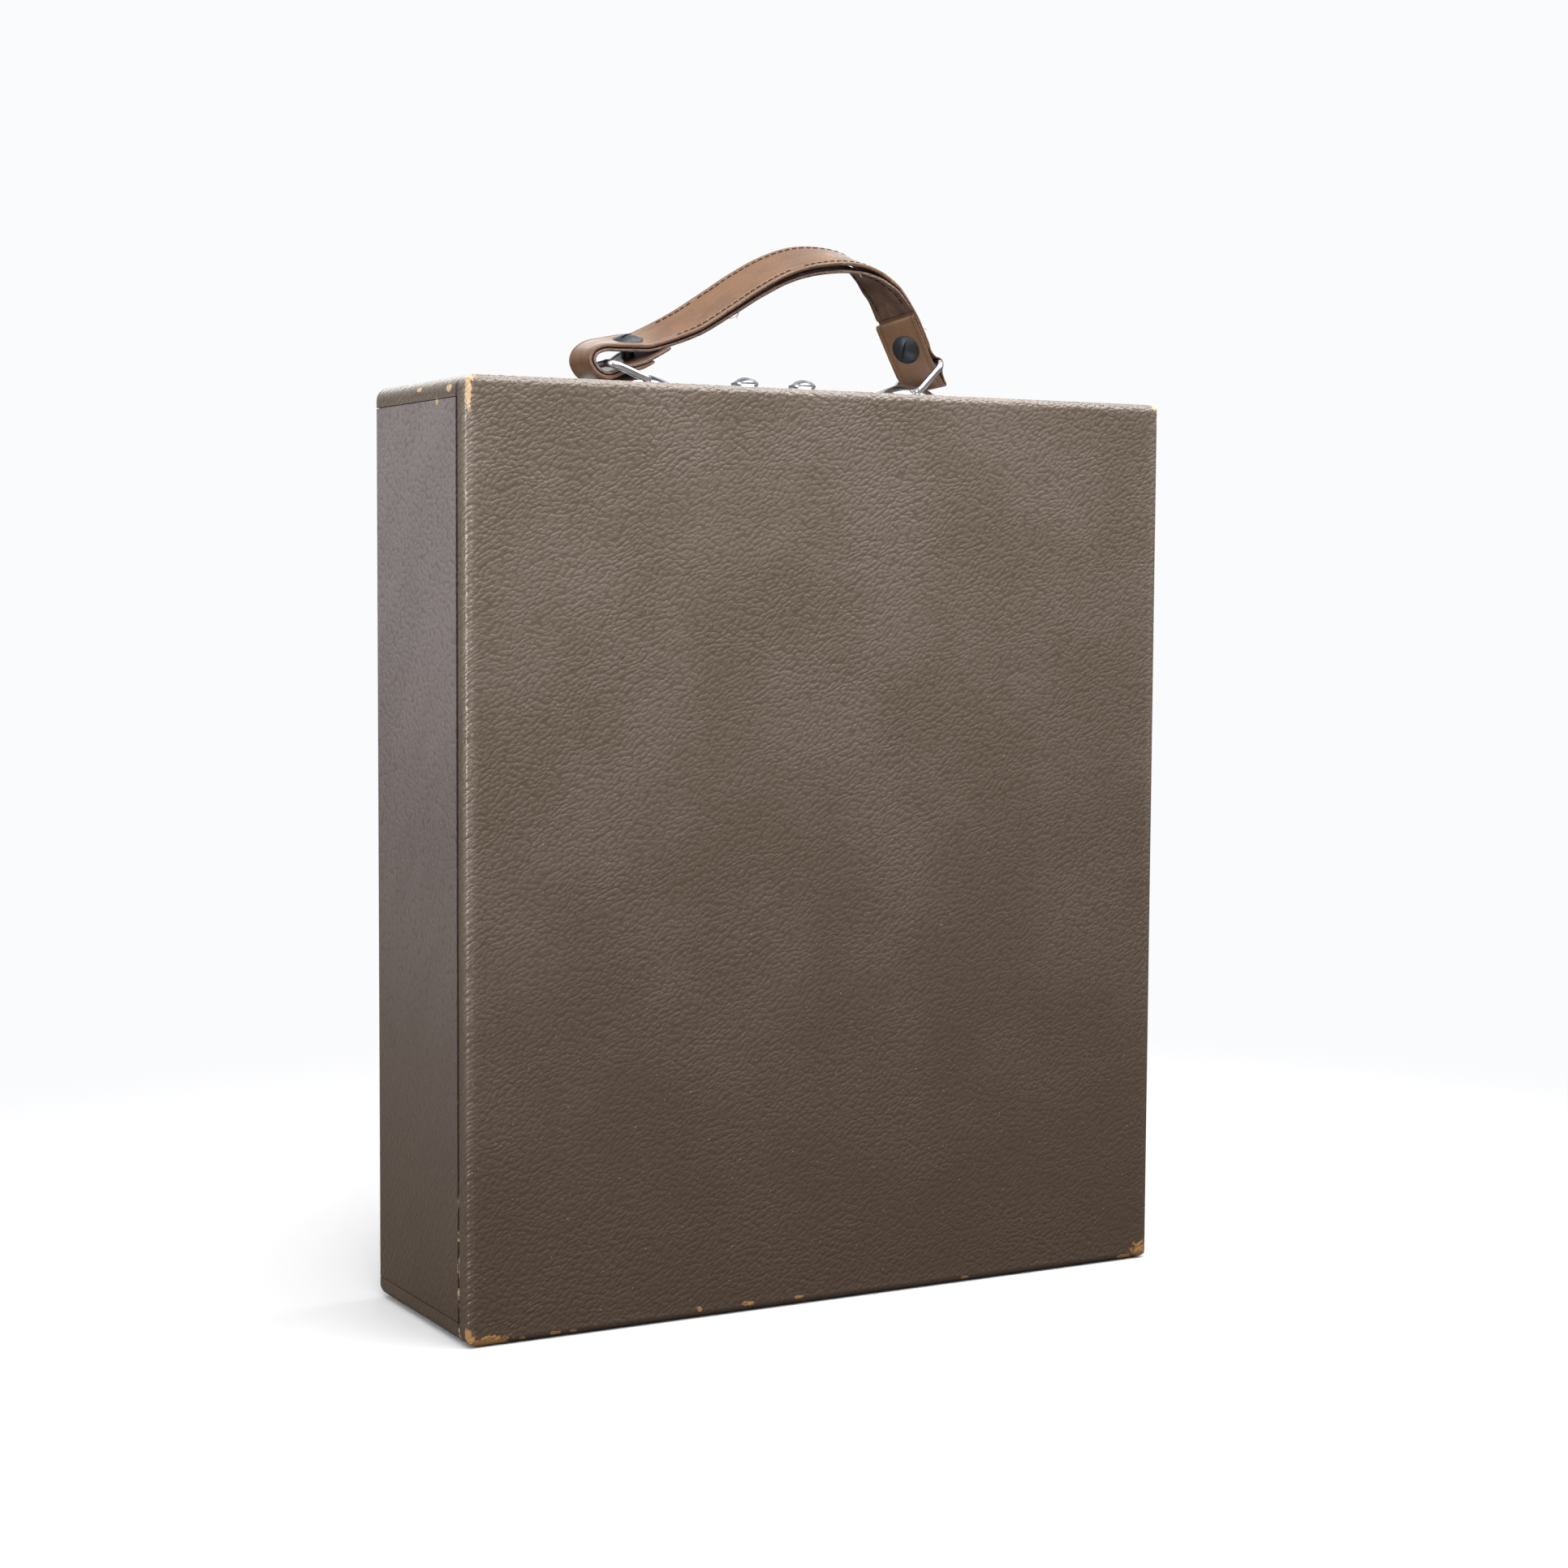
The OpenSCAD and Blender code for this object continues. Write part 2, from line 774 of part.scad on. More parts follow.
module shell_leaf() {
    outer = hinge_len / 2;
    inner = knuckle_l / 2;
    difference() {
        union() {
            box(-outer, outer, leaf_y0, pivot_y, leaf_z0, leaf_z0 + leaf_t);
            for (s = [-1, 1])
                barrel(s < 0 ? -outer : inner, s < 0 ? -inner : outer, knuckle_r);
        }
        box(-inner - knuckle_gap, inner + knuckle_gap, pivot_y - knuckle_r - 0.3, pivot_y + knuckle_r + 1,
            leaf_z0 - 1, leaf_z0 + leaf_t + 1);
        barrel(-inner - knuckle_gap, inner + knuckle_gap, knuckle_r + 0.3);
        barrel(-outer - 1, outer + 1, pin_d / 2 + pin_clear);
    }
}

module shell_screw_at() {
    for (x = [leaf_screw_in - hinge_len / 2, hinge_len / 2 - leaf_screw_in])
        translate([x, leaf_y0 + leaf_screw_in, leaf_z0])
            rotate([180, 0, 0])
                sunk_screw(small_screw_l, small_screw_r, flat_head_r);
    translate([0, leaf_y0 + 2 * leaf_screw_in, leaf_z0])
        rotate([180, 0, 0])
            sunk_screw(small_screw_l, small_screw_r, flat_head_r);
}

module shell_screw_shapes() {
    at_hinges()
        shell_screw_at();
}

module left_shell_leaf() {
    color("silver")
        translate([-hinge_x, 0, 0])
            difference() {
                shell_leaf();
                shell_screw_at();
            }
}

module right_shell_leaf() {
    color("silver")
        translate([hinge_x, 0, 0])
            difference() {
                shell_leaf();
                shell_screw_at();
            }
}

module hinge_screws_shell() {
    color("silver")
        shell_screw_shapes();
}

module hinge_pin(x) {
    translate([x, 0, 0]) {
        barrel(-hinge_len / 2 - pin_head_t, hinge_len / 2 + pin_head_t, pin_d / 2);
        barrel(-hinge_len / 2 - pin_head_t, -hinge_len / 2, pin_d / 2 + 0.7);
        barrel(hinge_len / 2, hinge_len / 2 + pin_head_t, pin_d / 2 + 0.7);
    }
}

module left_hinge_pin() {
    color("dimgray")
        hinge_pin(-hinge_x);
}

module right_hinge_pin() {
    color("dimgray")
        hinge_pin(hinge_x);
}

module panel_leaf() {
    outer = hinge_len / 2;
    inner = knuckle_l / 2 - knuckle_gap;
    difference() {
        union() {
            box(-outer, outer, panel_out_y, panel_out_y + leaf_t, pivot_z + knuckle_r + 0.3, panel_leaf_h);
            box(-inner, inner, panel_out_y, panel_out_y + leaf_t, pivot_z, panel_leaf_h);
            barrel(-inner, inner, knuckle_r);
        }
        barrel(-outer - 1, outer + 1, pin_d / 2 + pin_clear);
    }
}

module panel_screw_at() {
    for (x = [leaf_screw_in - hinge_len / 2, hinge_len / 2 - leaf_screw_in],
        z = [panel_low + 9, panel_leaf_h - leaf_screw_in])
        translate([x, panel_out_y + leaf_t, z])
            rotate([-90, 0, 0])
                sunk_screw(long_screw_l, small_screw_r, flat_head_r);
}

module panel_screw_shapes() {
    at_hinges()
        panel_screw_at();
}

module left_panel_leaf() {
    color("silver")
        translate([-hinge_x, 0, 0])
            difference() {
                panel_leaf();
                panel_screw_at();
            }
}

module right_panel_leaf() {
    color("silver")
        translate([hinge_x, 0, 0])
            difference() {
                panel_leaf();
                panel_screw_at();
            }
}

module hinge_screws_panel() {
    color("silver")
        panel_screw_shapes();
}

// The panel: board, outer covering round its edges, lining, feet and fixing bushes
module panel_holes() {
    bush_bodies(0);
    strike_screw_shapes();
    panel_screw_shapes();
    feet_screw_shapes();
}

module base_board() {
    color("burlywood")
        difference() {
            box(-panel_x + cover_t, panel_x - cover_t, board_y0, board_y1, panel_low + cover_t, panel_top - cover_t);
            panel_holes();
        }
}

module base_cover() {
    color("#5f584e")
        difference() {
            box(-panel_x, panel_x, board_y0, panel_out_y, panel_low, panel_top);
            box(-panel_x + cover_t, panel_x - cover_t, board_y0 - 1, board_y1, panel_low + cover_t,
                panel_top - cover_t);
            panel_holes();
        }
}

module base_lining() {
    color("wheat")
        difference() {
            box(-panel_x + 2, panel_x - 2, panel_in_y, board_y0, panel_low + 2, panel_top - 2);
            translate([fittings_x, 0, 0])
                box(-strike_x - 0.3, strike_x + 0.3, panel_in_y - 1, board_y0 + 1, strike_low - 0.3, panel_top);
            for (x = [-fix_x / 2, fix_x / 2], z = [-fix_z / 2, fix_z / 2])
                translate([x, panel_in_y - 1, fix_mid + z])
                    rotate([-90, 0, 0])
                        cylinder(d = bush_flange_d + 0.6, h = lining_t + 2);
        }
}

// Bush bodies at the four fixing points, as solid plugs or with their bore
module bush_bodies(bore) {
    for (x = [-fix_x / 2, fix_x / 2], z = [-fix_z / 2, fix_z / 2])
        translate([x, board_y0 - bush_flange_t, fix_mid + z])
            rotate([-90, 0, 0])
                difference() {
                    union() {
                        cylinder(d = bush_flange_d, h = bush_flange_t);
                        cylinder(d = fix_d + 2 * bush_wall, h = bush_flange_t + board_t + cover_t);
                    }
                    if (bore > 0)
                        translate([0, 0, -1])
                            cylinder(d = bore, h = bush_flange_t + board_t + cover_t + 2);
                }
}

module fixing_bushes() {
    color("goldenrod")
        bush_bodies(fix_d);
}

module at_feet() {
    for (x = [-foot_x, foot_x], z = [foot_low, foot_top])
        translate([x, panel_out_y, z])
            rotate([-90, 0, 0])
                children();
}

module feet_screw_shapes() {
    for (x = [-foot_x, foot_x], z = [foot_low, foot_top])
        translate([x, panel_out_y + foot_h - foot_screw_in, z])
            rotate([-90, 0, 0])
                sunk_screw(foot_screw_l, foot_shank_r, foot_head_r);
}

module feet() {
    color("#2b2b2b")
        difference() {
            at_feet()
                rotate_extrude()
                    union() {
                        polygon([
                            [0, 0], [foot_d / 2, 0], [foot_d / 2, 1], [foot_d / 2 - 0.9, foot_h - 1],
                            [foot_d / 2 - 1.9, foot_h], [0, foot_h]
                        ]);
                        translate([foot_d / 2 - 1.95, foot_h - 1.05])
                            circle(1.05);
                    }
            feet_screw_shapes();
            at_feet()
                translate([0, 0, foot_h - foot_screw_in])
                    cylinder(r = foot_head_r, h = foot_screw_in + 1);
        }
}

module feet_screws() {
    color("silver")
        feet_screw_shapes();
}

// A domed plate in which a ring turns: a long shallow dome on a flat foot
module loop_plate(c) {
    translate([c, 0, case_h])
        difference() {
            union() {
                linear_extrude(plate_t)
                    round_rect(flange_l, flange_w, flange_w / 2 - 0.5);
                intersection() {
                    dome(dome_minor);
                    translate([-flange_l / 2, -flange_w / 2, 0])
                        cube([flange_l, flange_w, 10]);
                }
            }
            intersection() {
                dome(dome_minor - dome_wall);
                translate([-flange_l / 2, -flange_w / 2, -1])
                    cube([flange_l, flange_w, 11]);
            }
            translate([0, -flange_w, pivot_h])
                rotate([-90, 0, 0])
                    cylinder(r = wire_r + hole_play, h = 2 * flange_w);
            for (x = [-rivet_x, rivet_x])
                translate([x, 0, -1])
                    cylinder(r = rivet_r, h = 4);
        }
}

module dome(r) {
    translate([0, 0, dome_top - dome_major - dome_minor])
        rotate([90, 0, 0])
            rotate_extrude()
                translate([dome_major, 0])
                    circle(r);
}

module left_loop_plate() {
    color("gainsboro")
        loop_plate(left_pivot[0]);
}

module right_loop_plate() {
    color("gainsboro")
        loop_plate(right_pivot[0]);
}

module rivet_shanks() {
    for (c = [left_pivot[0], right_pivot[0]], x = [-rivet_x, rivet_x])
        translate([c + x, 0, inner_top - washer_t - 1])
            cylinder(r = rivet_r, h = case_h + plate_t - inner_top + washer_t + 1);
}

module loop_plate_rivets() {
    head_r = (rivet_head_r * rivet_head_r + rivet_head_t * rivet_head_t) / (2 * rivet_head_t);
    color("gainsboro") {
        for (c = [left_pivot[0], right_pivot[0]], x = [-rivet_x, rivet_x])
            translate([c + x, 0, 0])
                union() {
                    translate([0, 0, inner_top - washer_t - 1])
                        cylinder(r = rivet_r, h = case_h + plate_t - inner_top + washer_t + 1);
                    translate([0, 0, case_h + plate_t])
                        intersection() {
                            translate([0, 0, rivet_head_t - head_r])
                                sphere(head_r);
                            cylinder(r = rivet_head_r, h = rivet_head_t + 1);
                        }
                    translate([0, 0, inner_top - washer_t - 1])
                        cylinder(r1 = rivet_r + 0.2, r2 = rivet_r + 0.6, h = 1);
                }
    }
}

module rivet_washers() {
    color("silver")
        for (c = [left_pivot[0], right_pivot[0]], x = [-rivet_x, rivet_x])
            translate([c + x, 0, inner_top - washer_t])
                difference() {
                    cylinder(r = rivet_head_r, h = washer_t);
                    translate([0, 0, -1])
                        cylinder(r = rivet_r, h = washer_t + 2);
                }
}

// A wire ring that points along +X from its pivot, with its ends turned in as stubs
module wire_ring() {
    half = ring_w / 2;
    bend = ring_corner;
    foot = ring_foot;
    translate([ring_r, half - bend, 0])
        rotate([90, 0, 0])
            cylinder(r = wire_r, h = 2 * (half - bend));
    for (s = [-1, 1])
        mirror([0, s < 0 ? 1 : 0, 0]) {
            translate([ring_r - bend, half - bend, 0])
                rotate_extrude(angle = 90)
                    translate([bend, 0])
                        circle(wire_r);
            translate([foot, half, 0])
                rotate([0, 90, 0])
                    cylinder(r = wire_r, h = ring_r - bend - foot);
            translate([foot, half - foot, 0])
                rotate([0, 0, 90])
                    rotate_extrude(angle = 90)
                        translate([foot, 0])
                            circle(wire_r);
            translate([0, half - foot, 0])
                rotate([90, 0, 0])
                    cylinder(r = wire_r, h = half - foot - stub_end);
        }
}

module left_ring() {
    color("gainsboro")
        translate([left_pivot[0], 0, case_h + pivot_h])
            rotate([0, left_rest - 180, 0])
                wire_ring();
}

module right_ring() {
    color("gainsboro")
        translate([right_pivot[0], 0, case_h + pivot_h])
            rotate([0, -right_rest, 0])
                wire_ring();
}

// A band swept along the strap's line from step u0 to u1. With under at 1 it runs as the inner layer, below
// the outer one, and drops further away from it by sag in the middle of the arch.
function droop(u) =
    let (t = min(max((u - arch_start) / (arch_end - arch_start), 0), 1))
    pow(sin(180 * t), 2);
function below(u) = on_line(u)[3] * (strap_t + liner_t) / 2 + layer_gap;
module band(u0, u1, thick, under, sag) {
    n = ceil((u1 - u0) * line_steps);
    m = 8;
    pts = [for (k = [0:n])
        let (
            u = u0 + (u1 - u0) * k / n,
            p = place(u),
            f = face_dir(u),
            w = width_dir(u),
            h = strap_w / 2 * on_line(u)[4],
            t = thick / 2 * on_line(u)[3],
            c = min(0.35, 0.6 * t),
            off = -under * below(u) - sag * droop(u)
        )
        for (s = [
            [h - c, t], [h, t - c], [h, c - t], [h - c, -t], [c - h, -t], [-h, c - t], [-h, t - c], [c - h, t]
        ])
            p + s[0] * w + (s[1] + off) * f];
    sides = [for (k = [0:n - 1]) for (j = [0:m - 1]) for (q = [0, 1])
        let (j2 = (j + 1) % m, a = k * m, b = a + m)
        q == 0 ? [a + j, b + j, b + j2] : [a + j, b + j2, a + j2]];
    low = [for (j = [1:m - 2]) [0, j, j + 1]];
    high = [for (j = [1:m - 2]) [n * m, n * m + j + 1, n * m + j]];
    polyhedron(pts, concat(sides, low, high), convexity = 10);
}

// Turns a child drawn on +Z to the strap's outward direction at step u
module face_on(u) {
    x = along_dir(u);
    z = face_dir(u);
    y = cross(z, x);
    multmatrix([[x[0], y[0], z[0], 0], [x[1], y[1], z[1], 0], [x[2], y[2], z[2], 0], [0, 0, 0, 1]])
        children();
}

module on_strap(u) {
    translate(place(u))
        face_on(u)
            children();
}

// How far below the strap at step a the outer face of the layer at step b lies
function seat_depth(a, b) =
    ((place(a) - place(b)) * face_dir(b) - half_at(b)) / (face_dir(a) * face_dir(b));
left_depth = seat_depth(left_screw_at, left_seat_at);
right_depth = seat_depth(right_screw_at, right_seat_at);
function head_base(u) = half_at(u) - head_sink;

// The post's bore through the layers, with the seats that the two heads press into the leather
module post_space(a, b, depth) {
    on_strap(a) {
        translate([0, 0, -depth - 3])
            cylinder(r = post_r + post_play, h = depth + 5, $fn = 32);
        translate([0, 0, head_base(a)])
            cylinder(d = screw_head_d, h = screw_head_t, $fn = 48);
    }
    post_head(a, b, depth);
}

module post_head(a, b, depth) {
    translate(place(a) - (depth - head_sink) * face_dir(a))
        face_on(b)
            cylinder(r = post_head_r, h = post_head_t);
}

module post_spaces() {
    post_space(left_screw_at, left_seat_at, left_depth);
    post_space(right_screw_at, right_seat_at, right_depth);
}

module strap() {
    color("#8a6a50")
        difference() {
            band(tail_start, last, strap_t, 0, 0);
            post_spaces();
        }
}

module strap_liner() {
    color("#7d604a")
        difference() {
            band(0, liner_end, liner_t, 1, arch_gap);
            post_spaces();
        }
}

// Length of the screw's thread inside the post
function thread_l(depth) = min(4, depth + 0.6);

module binding_screw(u, depth) {
    top_r = (screw_head_d * screw_head_d / 4 + screw_head_t * screw_head_t) / (2 * screw_head_t);
    difference() {
        union() {
            intersection() {
                translate([0, 0, head_base(u) + screw_head_t - top_r])
                    sphere(top_r, $fn = 96);
                translate([0, 0, head_base(u)])
                    cylinder(d = screw_head_d, h = screw_head_t + 1);
            }
            translate([0, 0, head_base(u) + 0.1 - thread_l(depth)])
                cylinder(r = post_bore_r, h = thread_l(depth));
        }
        translate([-screw_head_d, -0.6, head_base(u) + screw_head_t - 1])
            cube([2 * screw_head_d, 1.2, 2]);
    }
}

// A hollow post from the screw head at step a to its flat head, which lies on the layer at step b
module binding_post(a, b, depth) {
    difference() {
        union() {
            on_strap(a)
                translate([0, 0, -depth])
                    cylinder(r = post_r, h = depth + head_base(a));
            post_head(a, b, depth);
        }
        on_strap(a)
            translate([0, 0, head_base(a) + 0.1 - thread_l(depth)])
                cylinder(r = post_bore_r, h = thread_l(depth) + 1);
    }
}

module left_screw() {
    color("#26282c")
        on_strap(left_screw_at)
            binding_screw(left_screw_at, left_depth);
}

module left_post() {
    color("#26282c")
        binding_post(left_screw_at, left_seat_at, left_depth);
}

module right_screw() {
    color("#26282c")
        on_strap(right_screw_at)
            rotate([0, 0, 60])
                binding_screw(right_screw_at, right_depth);
}

module right_post() {
    color("#26282c")
        binding_post(right_screw_at, right_seat_at, right_depth);
}

front_board();
left_wall();
right_wall();
top_wall();
bottom_wall();
panel_stops();
shell_lining();
front_cover();
left_side_cover();
right_side_cover();
left_loop_plate();
right_loop_plate();
loop_plate_rivets();
rivet_washers();
lock_plate();
lock_plate_screws();
lock_housing();
lock_housing_screws();
left_shell_leaf();
right_shell_leaf();
left_hinge_pin();
right_hinge_pin();
hinge_screws_shell();
base_board();
base_cover();
base_lining();
left_panel_leaf();
right_panel_leaf();
hinge_screws_panel();
strike();
strike_screws();
feet();
feet_screws();
fixing_bushes();
left_latch();
left_button();
left_spring();
right_latch();
right_button();
right_spring();
left_ring();
right_ring();
strap();
strap_liner();
left_screw();
left_post();
right_screw();
right_post();
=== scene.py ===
"""Dresses the portable typewriter case: leatherette, stitched leather handle, bright fittings, studio."""
import math
import random

import bmesh
import bpy
from mathutils import Matrix, Vector, noise


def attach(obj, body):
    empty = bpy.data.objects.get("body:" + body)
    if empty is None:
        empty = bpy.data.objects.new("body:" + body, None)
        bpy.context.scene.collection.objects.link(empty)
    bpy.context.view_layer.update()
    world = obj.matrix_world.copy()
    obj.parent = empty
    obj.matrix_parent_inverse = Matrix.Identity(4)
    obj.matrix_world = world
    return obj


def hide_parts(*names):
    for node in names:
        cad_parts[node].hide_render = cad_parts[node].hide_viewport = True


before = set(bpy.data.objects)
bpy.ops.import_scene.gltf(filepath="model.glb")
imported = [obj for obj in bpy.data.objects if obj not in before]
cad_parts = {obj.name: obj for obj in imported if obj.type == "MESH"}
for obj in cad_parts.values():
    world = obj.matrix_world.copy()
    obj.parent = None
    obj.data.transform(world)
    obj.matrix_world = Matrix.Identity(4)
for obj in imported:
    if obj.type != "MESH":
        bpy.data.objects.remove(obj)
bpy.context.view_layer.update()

MM = 0.001

# Sizes that the dressing shares with the CAD model, in millimetres
CASE_W, CASE_H, FRONT_Y = 303.0, 350.0, -46.0
HALF_W = CASE_W / 2
SEAM_IN, SEAM_GAP = 7.4, 0.9
SEAM_Y = FRONT_Y + SEAM_IN + SEAM_GAP / 2
FITTINGS_X = -2.0
PIVOT_X, PIVOT_Z, RING_R = 59.7, 3.4, 17.2
LEFT_REST, RIGHT_REST = math.radians(20), math.radians(45.5)
LEFT_BAR = (FITTINGS_X - PIVOT_X - RING_R * math.cos(LEFT_REST), PIVOT_Z + RING_R * math.sin(LEFT_REST))
RIGHT_BAR = (FITTINGS_X + PIVOT_X + RING_R * math.cos(RIGHT_REST), PIVOT_Z + RING_R * math.sin(RIGHT_REST))
STRAP_W, STRAP_T, LINER_T = 18.0, 1.5, 1.3
LAYER_GAP, ARCH_GAP, ARCH_RISE = 0.3, 1.7, 40.5
SCREW_HEAD_R, POST_HEAD_R, HEAD_SINK = 5.8, 3.6, 0.15
HALF_STRAP = STRAP_W / 2

# Sizes of the dressing alone, in millimetres. A border is from a leather's edge to its pressed line
STRAP_BORDER, LINER_BORDER = 1.75, 2.3
STRAP_GROOVE, LINER_GROOVE = 0.24, 0.16
STITCH_PITCH, LINER_PITCH = 3.05, 3.3
THREAD_R, LOOSE_R = 0.2, 0.13
EDGE_REACH = 6.0
UV_SCALE = 100

# The strap's line in millimetres and degrees: x, z and roll, and on the right its share of thickness and width
LEFT_LINE = [
    (25.8, 7.6, -17), (20.1, 4.3, -17), (13.6, 1, -16), (7.1, -2, -6), (1.1, -5.1, -2),
    (-4.2, -4.2, 0), (-7.4, 0.4, 0), (-6.1, 4.8, 3), (-1.4, 7.6, 8), (5.6, 8.6, 13),
    (12.4, 9.4, 17), (19.4, 10.5, 19),
]
ARCH_LINE = [
    (0.246, 0.282, 28), (0.342, 0.496, 30), (0.427, 0.694, 30), (0.513, 0.862, 30), (0.599, 0.966, 30),
    (0.687, 1, 25), (0.757, 0.968, 18), (0.809, 0.862, 4), (0.841, 0.749, -8),
]
RIGHT_LINE = [
    (-19.79, 26.17, -15, 0.9, 1), (-14.6, 17.14, -28, 0.6, 1), (-11.72, 11.42, -31, 0.47, 1),
    (-9.18, 6.43, -31, 0.45, 1), (-7.33, 3.45, -28, 0.45, 0.95), (-4.94, 2.42, -20, 0.45, 0.88),
    (-2.34, 2.06, -10, 0.45, 0.83), (-0.17, 2.21, -3, 0.45, 0.8), (1.37, 1.82, 0, 0.45, 0.8),
    (2.3, 0.16, 0, 0.45, 0.8), (1.18, -2.76, -4, 0.45, 0.84), (0.85, -5.41, -7, 0.45, 0.92),
    (1.04, -7.77, -10, 0.45, 0.98), (1.19, -8.94, -12, 0.45, 1), (0.74, -9.72, -14, 0.45, 1),
    (-0.15, -9.62, -16, 0.45, 1), (-1.18, -8.91, -19, 0.45, 1), (-2.9, -7.31, -23.5, 0.45, 1),
    (-4.81, -5.26, -29, 0.45, 1), (-7.2, -1.42, -31, 0.45, 1), (-10.85, 5.58, -31, 0.45, 1),
    (-13.64, 11.01, -31, 0.45, 1), (-15.32, 14.19, -31, 0.45, 1), (-16, 15.64, -31, 0.45, 1),
    (-16.14, 16.41, -31, 0.45, 1), (-16.01, 16.87, -31, 0.45, 1), (-15.57, 16.7, -31, 0.45, 1),
    (-15.09, 16.11, -31, 0.45, 1), (-14.34, 14.69, -31, 0.45, 1), (-12.73, 11.47, -31, 0.45, 1),
    (-10.51, 6.99, -31, 0.45, 1), (-8.8, 3.6, -31, 0.45, 1),
]
SPAN = RIGHT_BAR[0] - LEFT_BAR[0]
LINE = (
    [(LEFT_BAR[0] + x, LEFT_BAR[1] + z, r, 1, 1) for x, z, r in LEFT_LINE]
    + [(LEFT_BAR[0] + x * SPAN, RIGHT_BAR[1] + z * ARCH_RISE, r, 1, 1) for x, z, r in ARCH_LINE]
    + [(RIGHT_BAR[0] + x, RIGHT_BAR[1] + z, r, t, w) for x, z, r, t, w in RIGHT_LINE]
)
LAST = len(LINE) - 1
RIGHT_START = len(LEFT_LINE) + len(ARCH_LINE)
FLAP_LEAN = math.radians(27)
LEFT_SCREW_AT, LEFT_SEAT_AT = 10, 2
RIGHT_SCREW_AT, RIGHT_SEAT_AT = RIGHT_START + 20, RIGHT_START + 3
ARCH_START, ARCH_END = 10, RIGHT_START + 1
STRAP_FROM, LINER_END = 1.25, RIGHT_START + 0.78


def rgb(red, green, blue):
    """A colour from its 0-255 screen values, for a shader socket."""
    def linear(value):
        value /= 255
        return value / 12.92 if value <= 0.04045 else ((value + 0.055) / 1.055) ** 2.4
    return (linear(red), linear(green), linear(blue), 1)


